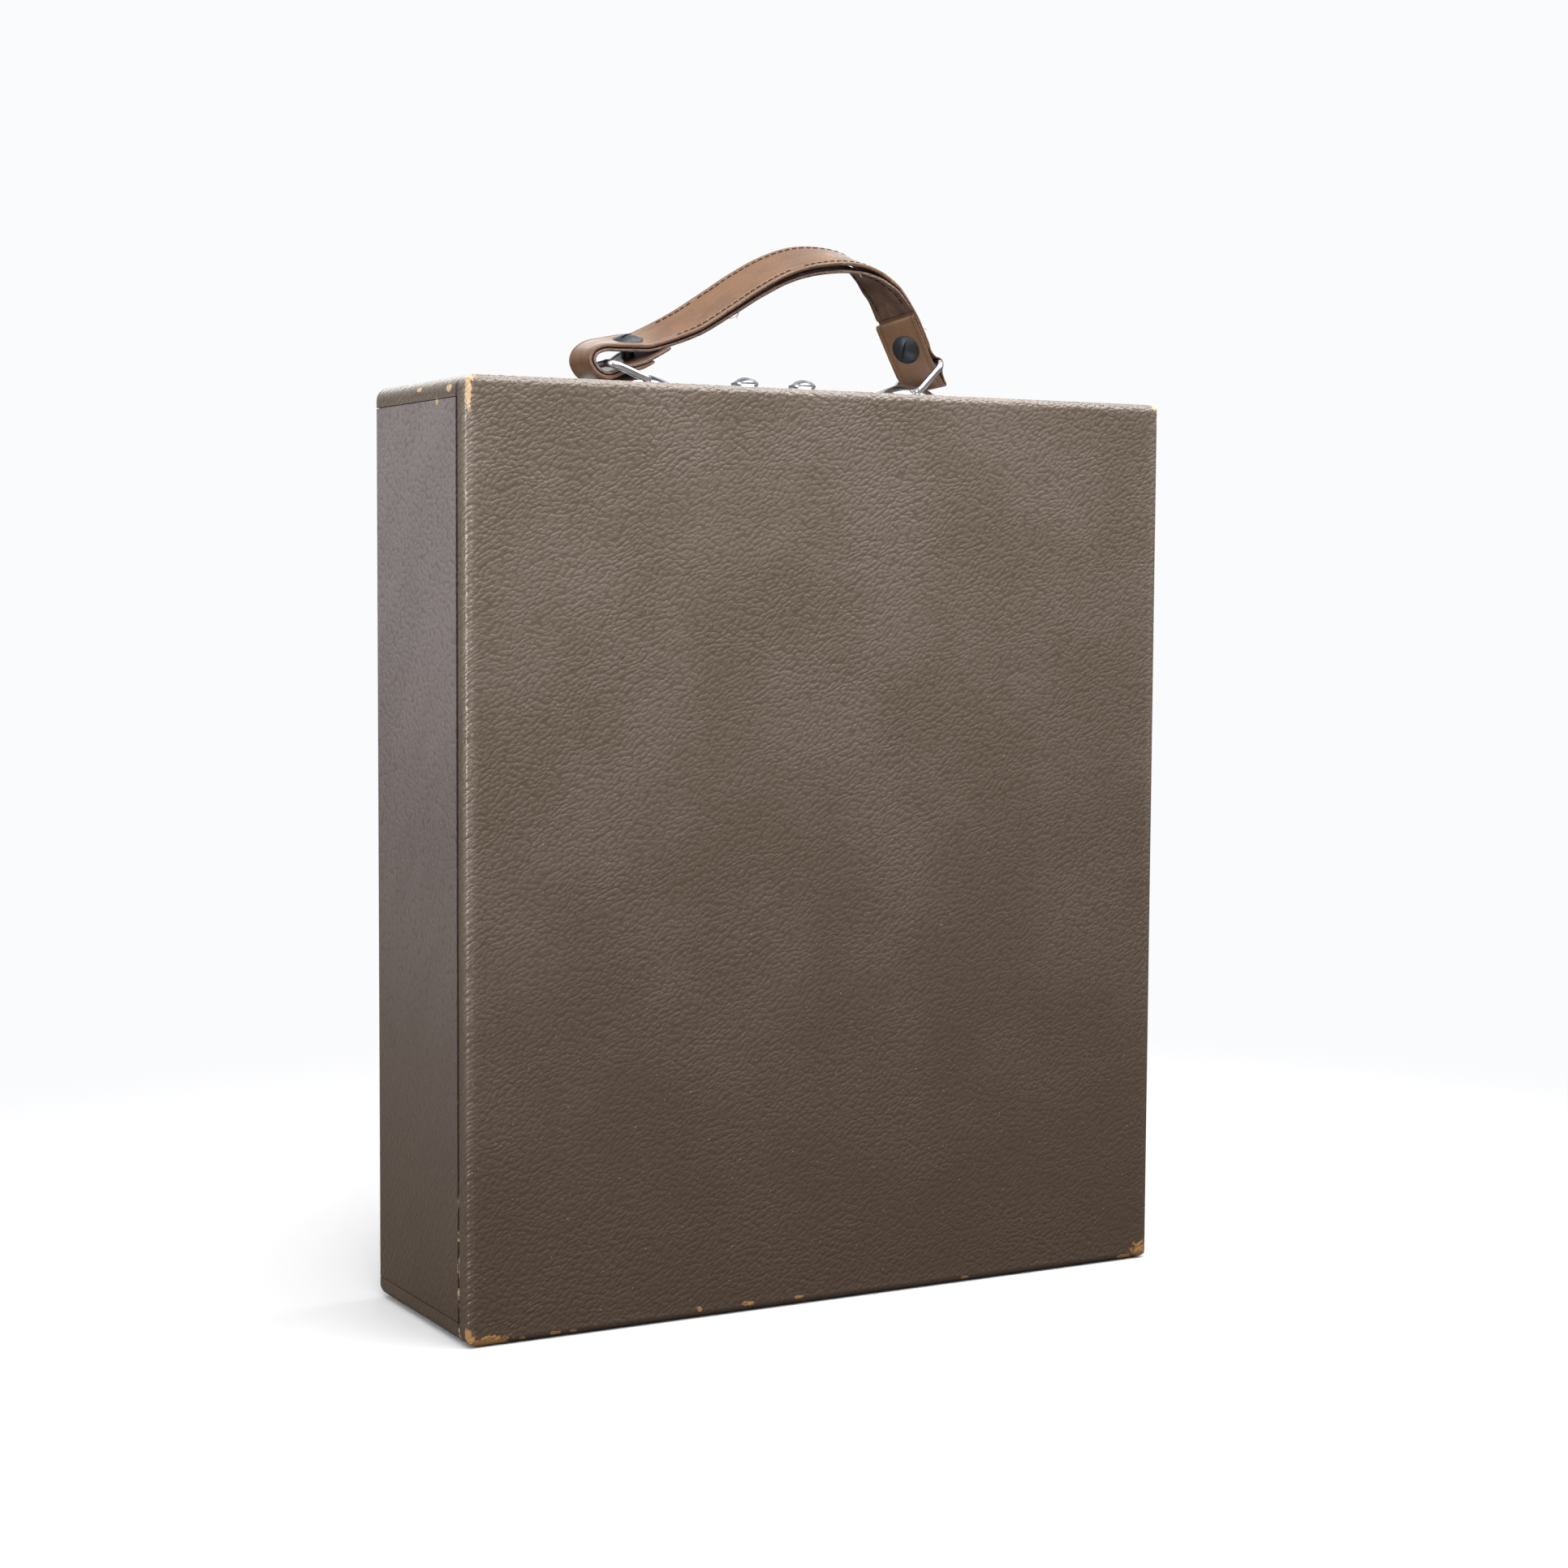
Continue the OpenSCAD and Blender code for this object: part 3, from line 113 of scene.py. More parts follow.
class Net:
    """A material and short names for the nodes that it is made of."""

    def __init__(self, name, **shader):
        self.mat = bpy.data.materials.new(name)
        self.mat.use_nodes = True
        self.tree = self.mat.node_tree
        self.tree.nodes.clear()
        out = self.node("OutputMaterial")
        self.shader = self.node("BsdfPrincipled")
        self.tree.links.new(self.shader.outputs[0], out.inputs["Surface"])
        for key, value in shader.items():
            self.set(key, value)
        coords = self.node("TexCoord")
        self.uv = coords.outputs["UV"]
        self.mm = self.vmath("MULTIPLY", coords.outputs["Object"], (1000, 1000, 1000))
        split = self.node("SeparateXYZ")
        self.feed(split.inputs[0], self.mm)
        self.x, self.y, self.z = split.outputs

    def node(self, kind, **values):
        made = self.tree.nodes.new("ShaderNode" + kind)
        for key, value in values.items():
            setattr(made, key, value)
        return made

    def feed(self, socket, value):
        if isinstance(value, bpy.types.NodeSocket):
            self.tree.links.new(value, socket)
        else:
            socket.default_value = value

    def set(self, key, value):
        self.feed(self.shader.inputs[key.replace("_", " ")], value)

    def math(self, op, a, b=0.0):
        made = self.node("Math", operation=op)
        self.feed(made.inputs[0], a)
        self.feed(made.inputs[1], b)
        return made.outputs[0]

    def vmath(self, op, a, b=(0, 0, 0), out=0):
        made = self.node("VectorMath", operation=op)
        self.feed(made.inputs[0], a)
        self.feed(made.inputs[1], b)
        return made.outputs[out]

    def mix(self, fac, a, b):
        made = self.node("Mix", data_type="RGBA")
        self.feed(made.inputs[0], fac)
        self.feed(made.inputs[6], a)
        self.feed(made.inputs[7], b)
        return made.outputs[2]

    def blend(self, fac, a, b):
        made = self.node("Mix", data_type="FLOAT")
        self.feed(made.inputs[0], fac)
        self.feed(made.inputs[2], a)
        self.feed(made.inputs[3], b)
        return made.outputs[0]

    def step(self, value, low, high, to_low=0.0, to_high=1.0):
        """A smooth change from to_low to to_high while value goes from low to high."""
        made = self.node("MapRange", interpolation_type="SMOOTHSTEP")
        for socket, item in zip(made.inputs, (value, low, high, to_low, to_high)):
            self.feed(socket, item)
        return made.outputs[0]

    def place(self, vector, size=(1, 1, 1), turn=(0, 0, 0), at=(0, 0, 0)):
        """The vector turned back by turn and divided by size, so size is the pattern's own in mm."""
        made = self.node("Mapping", vector_type="TEXTURE")
        self.feed(made.inputs["Vector"], vector)
        made.inputs["Location"].default_value = at
        made.inputs["Rotation"].default_value = [math.radians(a) for a in turn]
        made.inputs["Scale"].default_value = size
        return made.outputs[0]

    def noise(self, vector, detail=2.0, rough=0.5, distort=0.0, color=False, flat=False):
        made = self.node("TexNoise", noise_dimensions="2D" if flat else "3D")
        self.feed(made.inputs["Vector"], vector)
        made.inputs["Scale"].default_value = 1
        made.inputs["Detail"].default_value = detail
        made.inputs["Roughness"].default_value = rough
        made.inputs["Distortion"].default_value = distort
        return made.outputs["Color" if color else "Fac"]

    def cells(self, vector, feature="SMOOTH_F1", smooth=0.5, flat=False):
        made = self.node("TexVoronoi", feature=feature, voronoi_dimensions="2D" if flat else "3D")
        self.feed(made.inputs["Vector"], vector)
        made.inputs["Scale"].default_value = 1
        if feature == "SMOOTH_F1":
            made.inputs["Smoothness"].default_value = smooth
        return made.outputs["Distance"]

    def join(self, *parts):
        made = self.node("CombineXYZ")
        for socket, part in zip(made.inputs, parts):
            self.feed(socket, part)
        return made.outputs[0]

    def bump(self, height, depth_mm, strength=1.0):
        made = self.node("Bump")
        made.inputs["Strength"].default_value = strength
        made.inputs["Distance"].default_value = depth_mm * MM
        self.feed(made.inputs["Height"], height)
        return made.outputs[0]

    def spots(self, places):
        """A mask of ragged patches: each is (x, y, z, half-size along x, y, z) in mm."""
        tatter = self.noise(self.place(self.mm, (2.2, 2.2, 2.2)), 4, 0.65)
        ragged = self.math("MULTIPLY", self.math("SUBTRACT", tatter, 0.5), 2.6)
        total = None
        for x, y, z, rx, ry, rz in places:
            away = self.vmath("LENGTH", self.place(self.mm, (rx, ry, rz), at=(x, y, z)), out=1)
            mask = self.step(self.math("ADD", away, ragged), 0.9, 1.05, 1, 0)
            total = mask if total is None else self.math("MAXIMUM", total, mask)
        return total


# Worn places of the covering, read off the photograph: x, y, z and half-sizes in mm
CREAM_CHIPS = [
    (-150.2, -45.0, 348.8, 3.2, 1.6, 1.8), (-150.0, -45.6, 343.0, 0.9, 1.0, 5.5),
    (-151.3, -31.0, 345.6, 0.8, 2.6, 1.2), (-151.4, -20.0, 341.5, 0.8, 1.4, 1.2),
    (-151.2, -2.0, 346.5, 0.8, 2.0, 0.9), (150.2, -45.2, 348.3, 2.0, 1.6, 1.6),
    (150.9, -45.0, 343.5, 0.9, 0.9, 2.2),
]
TAN_CHIPS = [
    (-150.2, -45.0, 3.4, 2.0, 2.0, 3.8), (-143.0, -45.0, 1.6, 8.0, 2.2, 2.3), (-129.5, -45.8, 1.2, 1.3, 1.0, 0.9),
    (-117.0, -45.8, 1.6, 3.0, 0.8, 0.9), (-109.0, -45.8, 1.4, 1.6, 0.8, 0.8), (-57.0, -45.9, 3.4, 1.0, 0.8, 1.0),
    (-36.0, -45.9, 3.0, 3.0, 0.8, 1.0), (-14.0, -45.9, 2.8, 2.2, 0.8, 0.7), (62.0, -45.9, 1.6, 1.8, 0.8, 0.8),
    (147.6, -44.8, 3.6, 4.8, 2.2, 3.4), (140.0, -45.6, 1.2, 3.6, 1.4, 1.1), (150.8, -44.0, 9.0, 0.9, 1.4, 2.6),
]


# The covering's pattern: sizes in mm, turns in degrees
SLANT = 0.9
SWAY_SIZE, SWAY_REACH = 17, 4
ROW_TURN, ROW_LONG, ROW_WIDE = -66, 3.0, 1.5
SWELL_SIZE, PATCH_SIZE = 60, 52
# The dark colour paints dirt and shade into the side seams, and shade along the foot
DIRT_AND_SHADE, TORN, SPECK = rgb(38, 28, 23), rgb(196, 178, 148), rgb(186, 174, 158)


def edge_distances(net):
    """How far a point is from the sides, and from the case's nearest rounded edge, in mm."""
    side = net.math("SUBTRACT", HALF_W, net.math("ABSOLUTE", net.x))
    front = net.math("SUBTRACT", net.y, FRONT_Y)
    top = net.math("SUBTRACT", CASE_H, net.z)
    edge = None
    for a, b in [(side, front), (front, top), (front, net.z), (side, top), (side, net.z)]:
        far = net.math("MAXIMUM", a, b)
        edge = far if edge is None else net.math("MINIMUM", edge, far)
    return side, edge


def seam_and_foot_shade(net, colour, side):
    """Dirt and painted shade in the side seams, painted shade along the foot, with torn pale fibres low in the
    seam.
    """
    off_seam = net.math("ABSOLUTE", net.math("SUBTRACT", net.y, SEAM_Y))
    on_side = net.step(side, 0.9, 1.1, 1, 0)
    ragged = net.math("MULTIPLY", net.noise(net.place(net.mm, (1.4, 1.4, 3.0)), 2, 0.6), 0.8)
    # Dirt and painted shade: a dark band along each side seam
    seam = net.math("MULTIPLY", on_side, net.step(net.math("SUBTRACT", off_seam, ragged), 0.3, 1.1, 0.85, 0))
    # Painted shade: the lowest few millimetres darken where the rounded foot meets the floor
    foot = net.step(net.math("ADD", net.z, ragged), 1.2, 3.2, 0.75, 0)
    colour = net.mix(net.math("MAXIMUM", seam, foot), colour, DIRT_AND_SHADE)
    tear = net.noise(net.place(net.mm, (2.2, 2.2, 3.4)), 2, 0.6)
    torn = net.math("MULTIPLY", net.step(tear, 0.54, 0.58), net.step(off_seam, 0.8, 1.2, 0.85, 0))
    torn = net.math("MULTIPLY", torn, net.math("MULTIPLY", on_side, net.step(net.z, 40, 62, 1, 0)))
    return net.mix(torn, colour, TORN)


def leatherette(name, tone, lean, size, depth, painted_foot_shade):
    """Pebbled coated cloth: leaning rows of pebbles, worn and chipped along the case's edges.

    tone: two near colours, that of painted shade in the creases and towards the foot, and that of worn places and
    painted highlights. lean and size: the pebbles' turn in degrees and size in mm. depth: relief in mm. The last
    argument: how dark the painted shade towards the foot is.
    """
    net = Net(name, Specular_IOR_Level=0.5)
    slant = net.math("MULTIPLY", net.y, SLANT)
    flat = net.join(net.math("ADD", net.x, slant), net.math("ADD", net.z, slant))
    soft = net.noise(net.place(flat, (SWAY_SIZE,) * 3), 1, color=True, flat=True)
    sway = net.vmath("MULTIPLY", net.vmath("SUBTRACT", soft, (0.5, 0.5, 0.5)), (SWAY_REACH, SWAY_REACH, 0))
    moved = net.vmath("ADD", flat, sway)

    # Relief: flat-topped pebbles, the longer rows that they lie in, and fine wrinkles
    pebble = net.cells(net.place(moved, size, (0, 0, lean)), smooth=0.16, flat=True)
    row_size = (size[0] * ROW_LONG, size[1] * ROW_WIDE, 1)
    rows = net.cells(net.place(moved, row_size, (0, 0, lean + ROW_TURN)), smooth=0.25, flat=True)
    fine_size = (size[0] * 0.5, size[1] * 0.36, 1)
    wrinkle = net.noise(net.place(moved, fine_size, (0, 0, lean)), 2, 0.6, 0.3, flat=True)
    hills = net.math("ADD", net.step(pebble, 0.22, 0.74, 1, 0),
                     net.math("MULTIPLY", net.step(rows, 0.25, 0.8, 1, 0), 0.55))
    hills = net.math("ADD", hills, net.math("MULTIPLY", wrinkle, 0.3))
    swell = net.noise(net.place(flat, (SWELL_SIZE,) * 3), 1, flat=True)
    hills = net.math("MULTIPLY", hills, net.step(swell, 0.32, 0.68, 0.92, 1.1))

    # Colour: nearly even, with painted shade in the creases and towards the foot, a painted highlight on the
    # wrinkles' ridges, and upper edges paler, partly from wear and partly as a painted highlight
    side, edge = edge_distances(net)
    near_edge = net.step(edge, 1.0, EDGE_REACH, 1, 0)
    upper_edge_wear_and_highlight = net.math("MULTIPLY", near_edge, net.step(net.z, 60, 230, 0.15, 1))
    patchy = net.noise(net.place(flat, (PATCH_SIZE,) * 3), 3, 0.55, flat=True)
    colour = net.mix(net.step(patchy, 0.3, 0.72), tone[0], tone[1])
    # Painted shade: the pebbles' creases are darkened towards the crease colour
    colour = net.mix(net.step(pebble, 0.5, 0.85, 0, 0.3), colour, tone[2])
    # Painted highlight: the fine wrinkles' ridges are lightened towards the pale colour
    colour = net.mix(net.step(wrinkle, 0.58, 0.78, 0, 0.16), colour, tone[3])
    # Painted shade: the covering darkens steadily from the top down to the foot
    colour = net.mix(net.step(net.z, -20, 320, painted_foot_shade, 0), colour, tone[2])
    # Real rubbing and a painted highlight: the upper edges are lightened, more so higher up
    rubbed_and_highlight = net.math("MULTIPLY", upper_edge_wear_and_highlight, net.step(wrinkle, 0.4, 0.65, 0.1, 0.6))
    colour = net.mix(rubbed_and_highlight, colour, tone[3])
    colour = seam_and_foot_shade(net, colour, side)

    # Bare cloth and board where the coating is gone, and pale specks
    flecks = net.noise(net.place(net.mm, (1.3, 1.3, 2.4)), 2, 0.7)
    fleck = net.step(net.math("SUBTRACT", flecks, net.math("MULTIPLY", edge, 0.035)), 0.675, 0.69, 0, 0.8)
    fibre = net.noise(net.place(flat, (0.7, 1.8, 1)), 2, 0.7, flat=True)
    tan = net.spots(TAN_CHIPS)
    cream = net.spots(CREAM_CHIPS)
    tan_colour = net.mix(fibre, rgb(116, 82, 46), rgb(190, 148, 98))
    cream_colour = net.mix(fibre, rgb(178, 140, 92), rgb(234, 210, 172))
    colour = net.mix(fleck, colour, tan_colour)
    colour = net.mix(tan, colour, tan_colour)
    colour = net.mix(cream, colour, cream_colour)
    dots = net.noise(net.place(flat, (1.1, 1.1, 1.1), at=(40, 7, 11)), 1, 0.4, flat=True)
    colour = net.mix(net.step(dots, 0.83, 0.84, 0, 0.5), colour, SPECK)
    net.set("Base_Color", colour)

    # The rubbed edges shine, and bare places are dull
    gloss = net.step(patchy, 0.3, 0.7, 0.3, 0.42)
    gloss = net.math("SUBTRACT", gloss, net.math("MULTIPLY", upper_edge_wear_and_highlight, 0.2))
    net.set("Roughness", net.blend(net.math("MAXIMUM", tan, cream), gloss, 0.9))
    net.set("Normal", net.bump(hills, depth))
    return net.mat


TAUPE = (rgb(104, 92, 81), rgb(112, 100, 90), rgb(69, 55, 45), rgb(150, 139, 129))
# The sides' paler, greyer tones paint the sheen that the side covers catch
SIDE_SHEEN_TONE = (rgb(131, 123, 123), rgb(137, 129, 129), rgb(66, 52, 42), rgb(166, 160, 159))
PANEL_TONE = (rgb(92, 80, 67), rgb(104, 92, 79), rgb(68, 57, 46), rgb(132, 120, 107))


def plywood(name, across, ends):
    """Pale ply: grain that is fine across one axis, layers along another, and near-black painted shade at the
    sides, where the side seams' gaps show it.
    """
    net = Net(name, Specular_IOR_Level=0.25)
    grain_size = [60.0, 60.0, 60.0]
    grain_size[across] = 1.6
    grain = net.noise(net.place(net.mm, grain_size), 5, 0.6, 1.2)
    pores = net.noise(net.place(net.mm, [s * 0.22 for s in grain_size]), 4, 0.7)
    colour = net.mix(net.step(grain, 0.3, 0.7), rgb(176, 132, 84), rgb(214, 176, 124))
    colour = net.mix(net.step(pores, 0.55, 0.75, 0, 0.5), colour, rgb(138, 96, 56))
    axis = (net.x, net.y, net.z)[ends]
    layer = net.node("TexWave", wave_type="BANDS", bands_direction="X", wave_profile="SIN")
    net.feed(layer.inputs["Vector"], net.join(net.math("MULTIPLY", axis, 0.16)))
    layer.inputs["Scale"].default_value = 1
    colour = net.mix(net.step(layer.outputs["Fac"], 0.35, 0.8, 0, 0.45), colour, rgb(120, 80, 46))
    # Painted shade: the wood turns near-black at the case's sides, so the side seams' gaps look dark
    gap_shade = net.step(net.math("ABSOLUTE", net.x), HALF_W - 1.6, HALF_W - 1.1)
    colour = net.mix(gap_shade, colour, rgb(20, 15, 12))
    net.set("Base_Color", colour)
    net.set("Roughness", net.step(grain, 0.2, 0.8, 0.75, 0.55))
    net.set("Normal", net.bump(pores, 0.12, 0.6))
    return net.mat


def paper_lining(name):
    """Stained fawn paper, slightly crumpled and scuffed."""
    net = Net(name, Specular_IOR_Level=0.2)
    fibre = net.noise(net.place(net.mm, (0.8, 0.8, 0.8)), 4, 0.7)
    stain = net.noise(net.place(net.mm, (48, 48, 48)), 4, 0.6, 0.4)
    colour = net.mix(net.step(stain, 0.3, 0.75), rgb(178, 156, 122), rgb(143, 119, 87))
    colour = net.mix(net.step(fibre, 0.5, 0.8, 0, 0.35), colour, rgb(205, 186, 154))
    crumple = net.noise(net.place(net.mm, (9, 9, 9)), 2, 0.5, 0.8)
    scuff = net.noise(net.place(net.mm, (2.0, 1.2, 22)), 3, 0.7)
    net.set("Base_Color", net.mix(net.step(scuff, 0.62, 0.78, 0, 0.4), colour, rgb(116, 94, 66)))
    net.set("Roughness", net.step(fibre, 0.3, 0.7, 0.72, 0.9))
    net.set("Normal", net.bump(net.math("ADD", fibre, net.math("MULTIPLY", crumple, 0.8)), 0.12, 0.7))
    return net.mat


def metal(name, colour, dark, rough, tarnish, scratch=0.0):
    """Worn metal: faint stains, dull patches and, on rougher pieces, fine scratches."""
    net = Net(name, Metallic=1.0)
    cloud = net.noise(net.place(net.mm, (6, 6, 6)), 3, 0.6, 0.5)
    pits = net.noise(net.place(net.mm, (0.5, 0.5, 0.5)), 1, 0.5)
    stain = net.math("MULTIPLY", net.step(cloud, 0.5, 0.75), tarnish)
    dull = net.math("MAXIMUM", stain, net.step(pits, 0.74, 0.78, 0, tarnish))
    net.set("Base_Color", net.mix(dull, colour, dark))
    if scratch:
        lines = net.noise(net.place(net.mm, (30, 0.3, 0.3), (0, 0, 12)), 3, 0.7)
        net.set("Roughness", net.step(lines, 0.3, 0.7, rough, rough + 0.2))
        net.set("Normal", net.bump(lines, 0.015 * scratch, 0.5))
    else:
        net.set("Roughness", net.step(cloud, 0.35, 0.75, rough, rough + 0.1))
    return net.mat


def rubber(name):
    """Dusty black rubber."""
    net = Net(name, Specular_IOR_Level=0.35)
    dust = net.noise(net.place(net.mm, (5, 5, 5)), 4, 0.6)
    net.set("Base_Color", net.mix(net.step(dust, 0.45, 0.8, 0, 0.7), rgb(38, 37, 36), rgb(92, 86, 78)))
    net.set("Roughness", net.step(dust, 0.3, 0.8, 0.55, 0.85))
    net.set("Normal", net.bump(net.noise(net.place(net.mm, (0.4,) * 3), 3), 0.08, 0.7))
    return net.mat


def strap_leather(name, face, dark, pale, edge_colour, border, half):
    """Smooth brown leather. U runs along the strap and V across it from its middle, in mm / UV_SCALE."""
    net = Net(name, Specular_IOR_Level=0.45)
    flat = net.vmath("MULTIPLY", net.uv, (UV_SCALE, UV_SCALE, 1))
    split = net.node("SeparateXYZ")
    net.feed(split.inputs[0], flat)
    across = net.math("ABSOLUTE", split.outputs[1])
    cloud = net.noise(net.place(flat, (13, 7, 1)), 3, 0.55, 0.3, flat=True)
    pores = net.cells(net.place(flat, (0.5, 0.42, 1)), "F1", flat=True)
    streak = net.noise(net.place(flat, (18, 0.9, 1)), 3, 0.65, flat=True)
    crack = net.noise(net.place(net.mm, (0.7, 0.7, 0.7)), 3, 0.75)
    colour = net.mix(net.step(cloud, 0.3, 0.75), face, dark)
    colour = net.mix(net.step(streak, 0.52, 0.8, 0, 0.25), colour, pale)
    colour = net.mix(net.step(pores, 0.0, 0.22, 0.25, 0), colour, dark)

    # A dark pressed line inside each edge, the raw cut edge itself, and pale cracks
    line = net.step(net.math("ABSOLUTE", net.math("SUBTRACT", across, half - border)), 0.1, 0.5, 1, 0)
    colour = net.mix(net.math("MULTIPLY", line, 0.6), colour, dark)
    ragged = net.math("ADD", across, net.math("MULTIPLY", crack, 0.5))
    raw = net.step(ragged, half, half + 0.32)
    layers = net.noise(net.place(net.join(split.outputs[0], net.z), (4.5, 0.25, 1)), 2, 0.7, flat=True)
    colour = net.mix(raw, colour, net.mix(net.step(layers, 0.35, 0.7), edge_colour, dark))
    more_at_edge = net.math("MULTIPLY", net.step(across, half - 1, half), 0.12)
    worn = net.step(net.math("ADD", crack, more_at_edge), 0.75, 0.78)
    colour = net.mix(net.math("MULTIPLY", worn, 0.7), colour, rgb(206, 172, 142))
    net.set("Base_Color", colour)

    gloss = net.step(cloud, 0.3, 0.75, 0.33, 0.44)
    net.set("Roughness", net.blend(net.math("MAXIMUM", raw, worn), gloss, 0.75))
    height = net.math("SUBTRACT", net.math("MULTIPLY", pores, 0.45), net.math("MULTIPLY", line, 0.8))
    height = net.math("ADD", height, net.math("MULTIPLY", net.math("MULTIPLY", raw, crack), 1.6))
    net.set("Normal", net.bump(height, 0.1, 0.8))
    return net.mat


def thread_stuff(name, colour, pale):
    """Twisted, matt sewing thread."""
    net = Net(name, Specular_IOR_Level=0.2)
    twist = net.noise(net.place(net.mm, (0.5, 0.18, 0.5), (0, 40, 0)), 3)
    net.set("Base_Color", net.mix(net.step(twist, 0.35, 0.75), colour, pale))
    net.set("Roughness", net.step(twist, 0.3, 0.7, 0.7, 0.9))
    net.set("Normal", net.bump(twist, 0.06, 0.8))
    return net.mat


def blackened(name):
    """Blackened steel, rubbed grey in places."""
    net = Net(name, Metallic=0.25, Specular_IOR_Level=0.5)
    wear = net.noise(net.place(net.mm, (2.4, 2.4, 2.4)), 5, 0.7)
    rub = net.step(wear, 0.58, 0.72, 0, 0.5)
    net.set("Base_Color", net.mix(rub, rgb(36, 40, 45), rgb(96, 100, 106)))
    net.set("Roughness", net.step(wear, 0.3, 0.75, 0.52, 0.3))
    net.set("Normal", net.bump(wear, 0.05, 0.5))
    return net.mat


MATERIALS = {
    "front": leatherette("leatherette_front", TAUPE, 24, (2.3, 1.45, 1), 0.155, 0.93),
    # The side covers' material carries a painted sheen in its paler grey colours
    "side": leatherette("leatherette_side_painted_sheen", SIDE_SHEEN_TONE, 58, (2.8, 1.3, 1), 0.12, 1.0),
    "panel": leatherette("leatherette_panel", PANEL_TONE, -24, (2.3, 1.45, 1), 0.15, 0.5),
    "ply_flat": plywood("plywood_flat", 1, 2),
    "ply_up": plywood("plywood_upright", 1, 0),
    "ply_board": plywood("plywood_board", 0, 1),
    "lining": paper_lining("lining_paper"),
    "chrome": metal("bright_chrome", rgb(206, 209, 216), rgb(150, 147, 144), 0.13, 0.3),
    "button": metal("satin_nickel", rgb(184, 187, 193), rgb(128, 126, 124), 0.24, 0.35),
    "wire": metal("bright_wire", rgb(206, 208, 213), rgb(132, 129, 127), 0.15, 0.4),
    "steel": metal("zinc_steel", rgb(176, 175, 170), rgb(120, 112, 100), 0.3, 0.6, 1.0),
    "brass": metal("turned_brass", rgb(206, 168, 96), rgb(126, 92, 48), 0.26, 0.6, 0.6),
    "black": blackened("blackened_screw"),
    "rubber": rubber("foot_rubber"),
    "strap": strap_leather("strap_leather", rgb(114, 83, 58), rgb(99, 71, 50), rgb(146, 114, 90),
                           rgb(140, 112, 98), STRAP_BORDER, HALF_STRAP),
    # The liner's darker tones partly paint the shade on the handle's inner faces
    "liner": strap_leather("liner_leather_painted_shade", rgb(101, 76, 62), rgb(64, 46, 37), rgb(128, 100, 84),
                           rgb(150, 130, 124), LINER_BORDER, HALF_STRAP),
    "thread": thread_stuff("dark_thread", rgb(44, 33, 28), rgb(84, 66, 56)),
    "loose": thread_stuff("pale_thread", rgb(158, 140, 128), rgb(200, 184, 172)),
}
NODE_LOOKS = {
    "front": ["front_cover"],
    "side": ["left_side_cover", "right_side_cover"],
    "panel": ["base_cover"],
    "ply_flat": ["top_wall", "bottom_wall", "panel_stops"],
    "ply_up": ["left_wall", "right_wall"],
    "ply_board": ["front_board", "base_board"],
    "lining": ["shell_lining", "base_lining"],
    "chrome": ["left_loop_plate", "right_loop_plate", "loop_plate_rivets", "lock_plate"],
    "button": ["left_button", "right_button"],
    "wire": ["left_ring", "right_ring"],
    "steel": ["rivet_washers", "lock_housing", "left_shell_leaf", "right_shell_leaf", "left_hinge_pin",
              "right_hinge_pin", "left_panel_leaf", "right_panel_leaf", "strike", "left_latch", "right_latch",
              "left_spring", "right_spring"],
    "brass": ["fixing_bushes"],
    "black": ["left_screw", "left_post", "right_screw", "right_post"],
    "rubber": ["feet"],
}
for finish, nodes in NODE_LOOKS.items():
    for node in nodes:
        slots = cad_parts[node].data.materials
        if len(slots):
            for index in range(len(slots)):
                slots[index] = MATERIALS[finish]
        else:
            slots.append(MATERIALS[finish])


def finish_mesh(bm, name):
    """The bmesh as a mesh with its faces turned outwards."""
    bmesh.ops.recalc_face_normals(bm, faces=bm.faces)
    mesh = bpy.data.meshes.new(name)
    bm.to_mesh(mesh)
    bm.free()
    return mesh


def piece(name, mesh, look, body, smooth=True):
    """A finished mesh in metres becomes a piece that rides on a body."""
    mesh.materials.append(MATERIALS[look])
    for face in mesh.polygons:
        face.use_smooth = smooth
    made = bpy.data.objects.new(name, mesh)
    bpy.context.scene.collection.objects.link(made)
    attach(made, body)
    return made


def at(i):
    """Point i of the strap's line, or its first or last where i lies beyond them."""
    return LINE[min(max(i, 0), LAST)]


def on_line(u):
    """The line's x, z, roll and shares of thickness and width at step u, on a uniform Catmull-Rom curve."""
    i = min(int(math.floor(u)), LAST - 1)
    t = u - i
    a, b, c, d = at(i - 1), at(i), at(i + 1), at(i + 2)
    return [
        0.5 * (2 * b[k] + (c[k] - a[k]) * t + (2 * a[k] - 5 * b[k] + 4 * c[k] - d[k]) * t * t
               + (3 * b[k] - a[k] - 3 * c[k] + d[k]) * t ** 3)
        for k in range(5)
    ]


def strap_frame(u):
    """The strap's middle at step u, its outward direction and the one towards its front edge."""
    near = 0.02
    a, b = on_line(max(u - near, 0)), on_line(min(u + near, LAST))
    head = math.atan2(b[1] - a[1], b[0] - a[0])
    x, z, roll = on_line(u)[:3]
    roll = math.radians(roll)
    sink, tip = math.sin(roll), math.cos(roll)
    rolled = Vector((math.sin(head) * sink, -tip, -math.cos(head) * sink))
    turned = Vector((-math.cos(FLAP_LEAN) * sink, -tip, -math.sin(FLAP_LEAN) * sink))
    wide = rolled.lerp(turned, min(max(u - RIGHT_START, 0), 1)).normalized()
    out = wide.cross(Vector((math.cos(head), 0, math.sin(head)))).normalized()
    return Vector((x, 0, CASE_H + z)), out, wide


def half_at(u):
    """Half the strap's thickness at step u."""
    return STRAP_T / 2 * on_line(u)[3]


def below(u):
    """How far the liner's middle lies under the strap's middle, apart from the sag of its arch."""
    return on_line(u)[3] * (STRAP_T + LINER_T) / 2 + LAYER_GAP


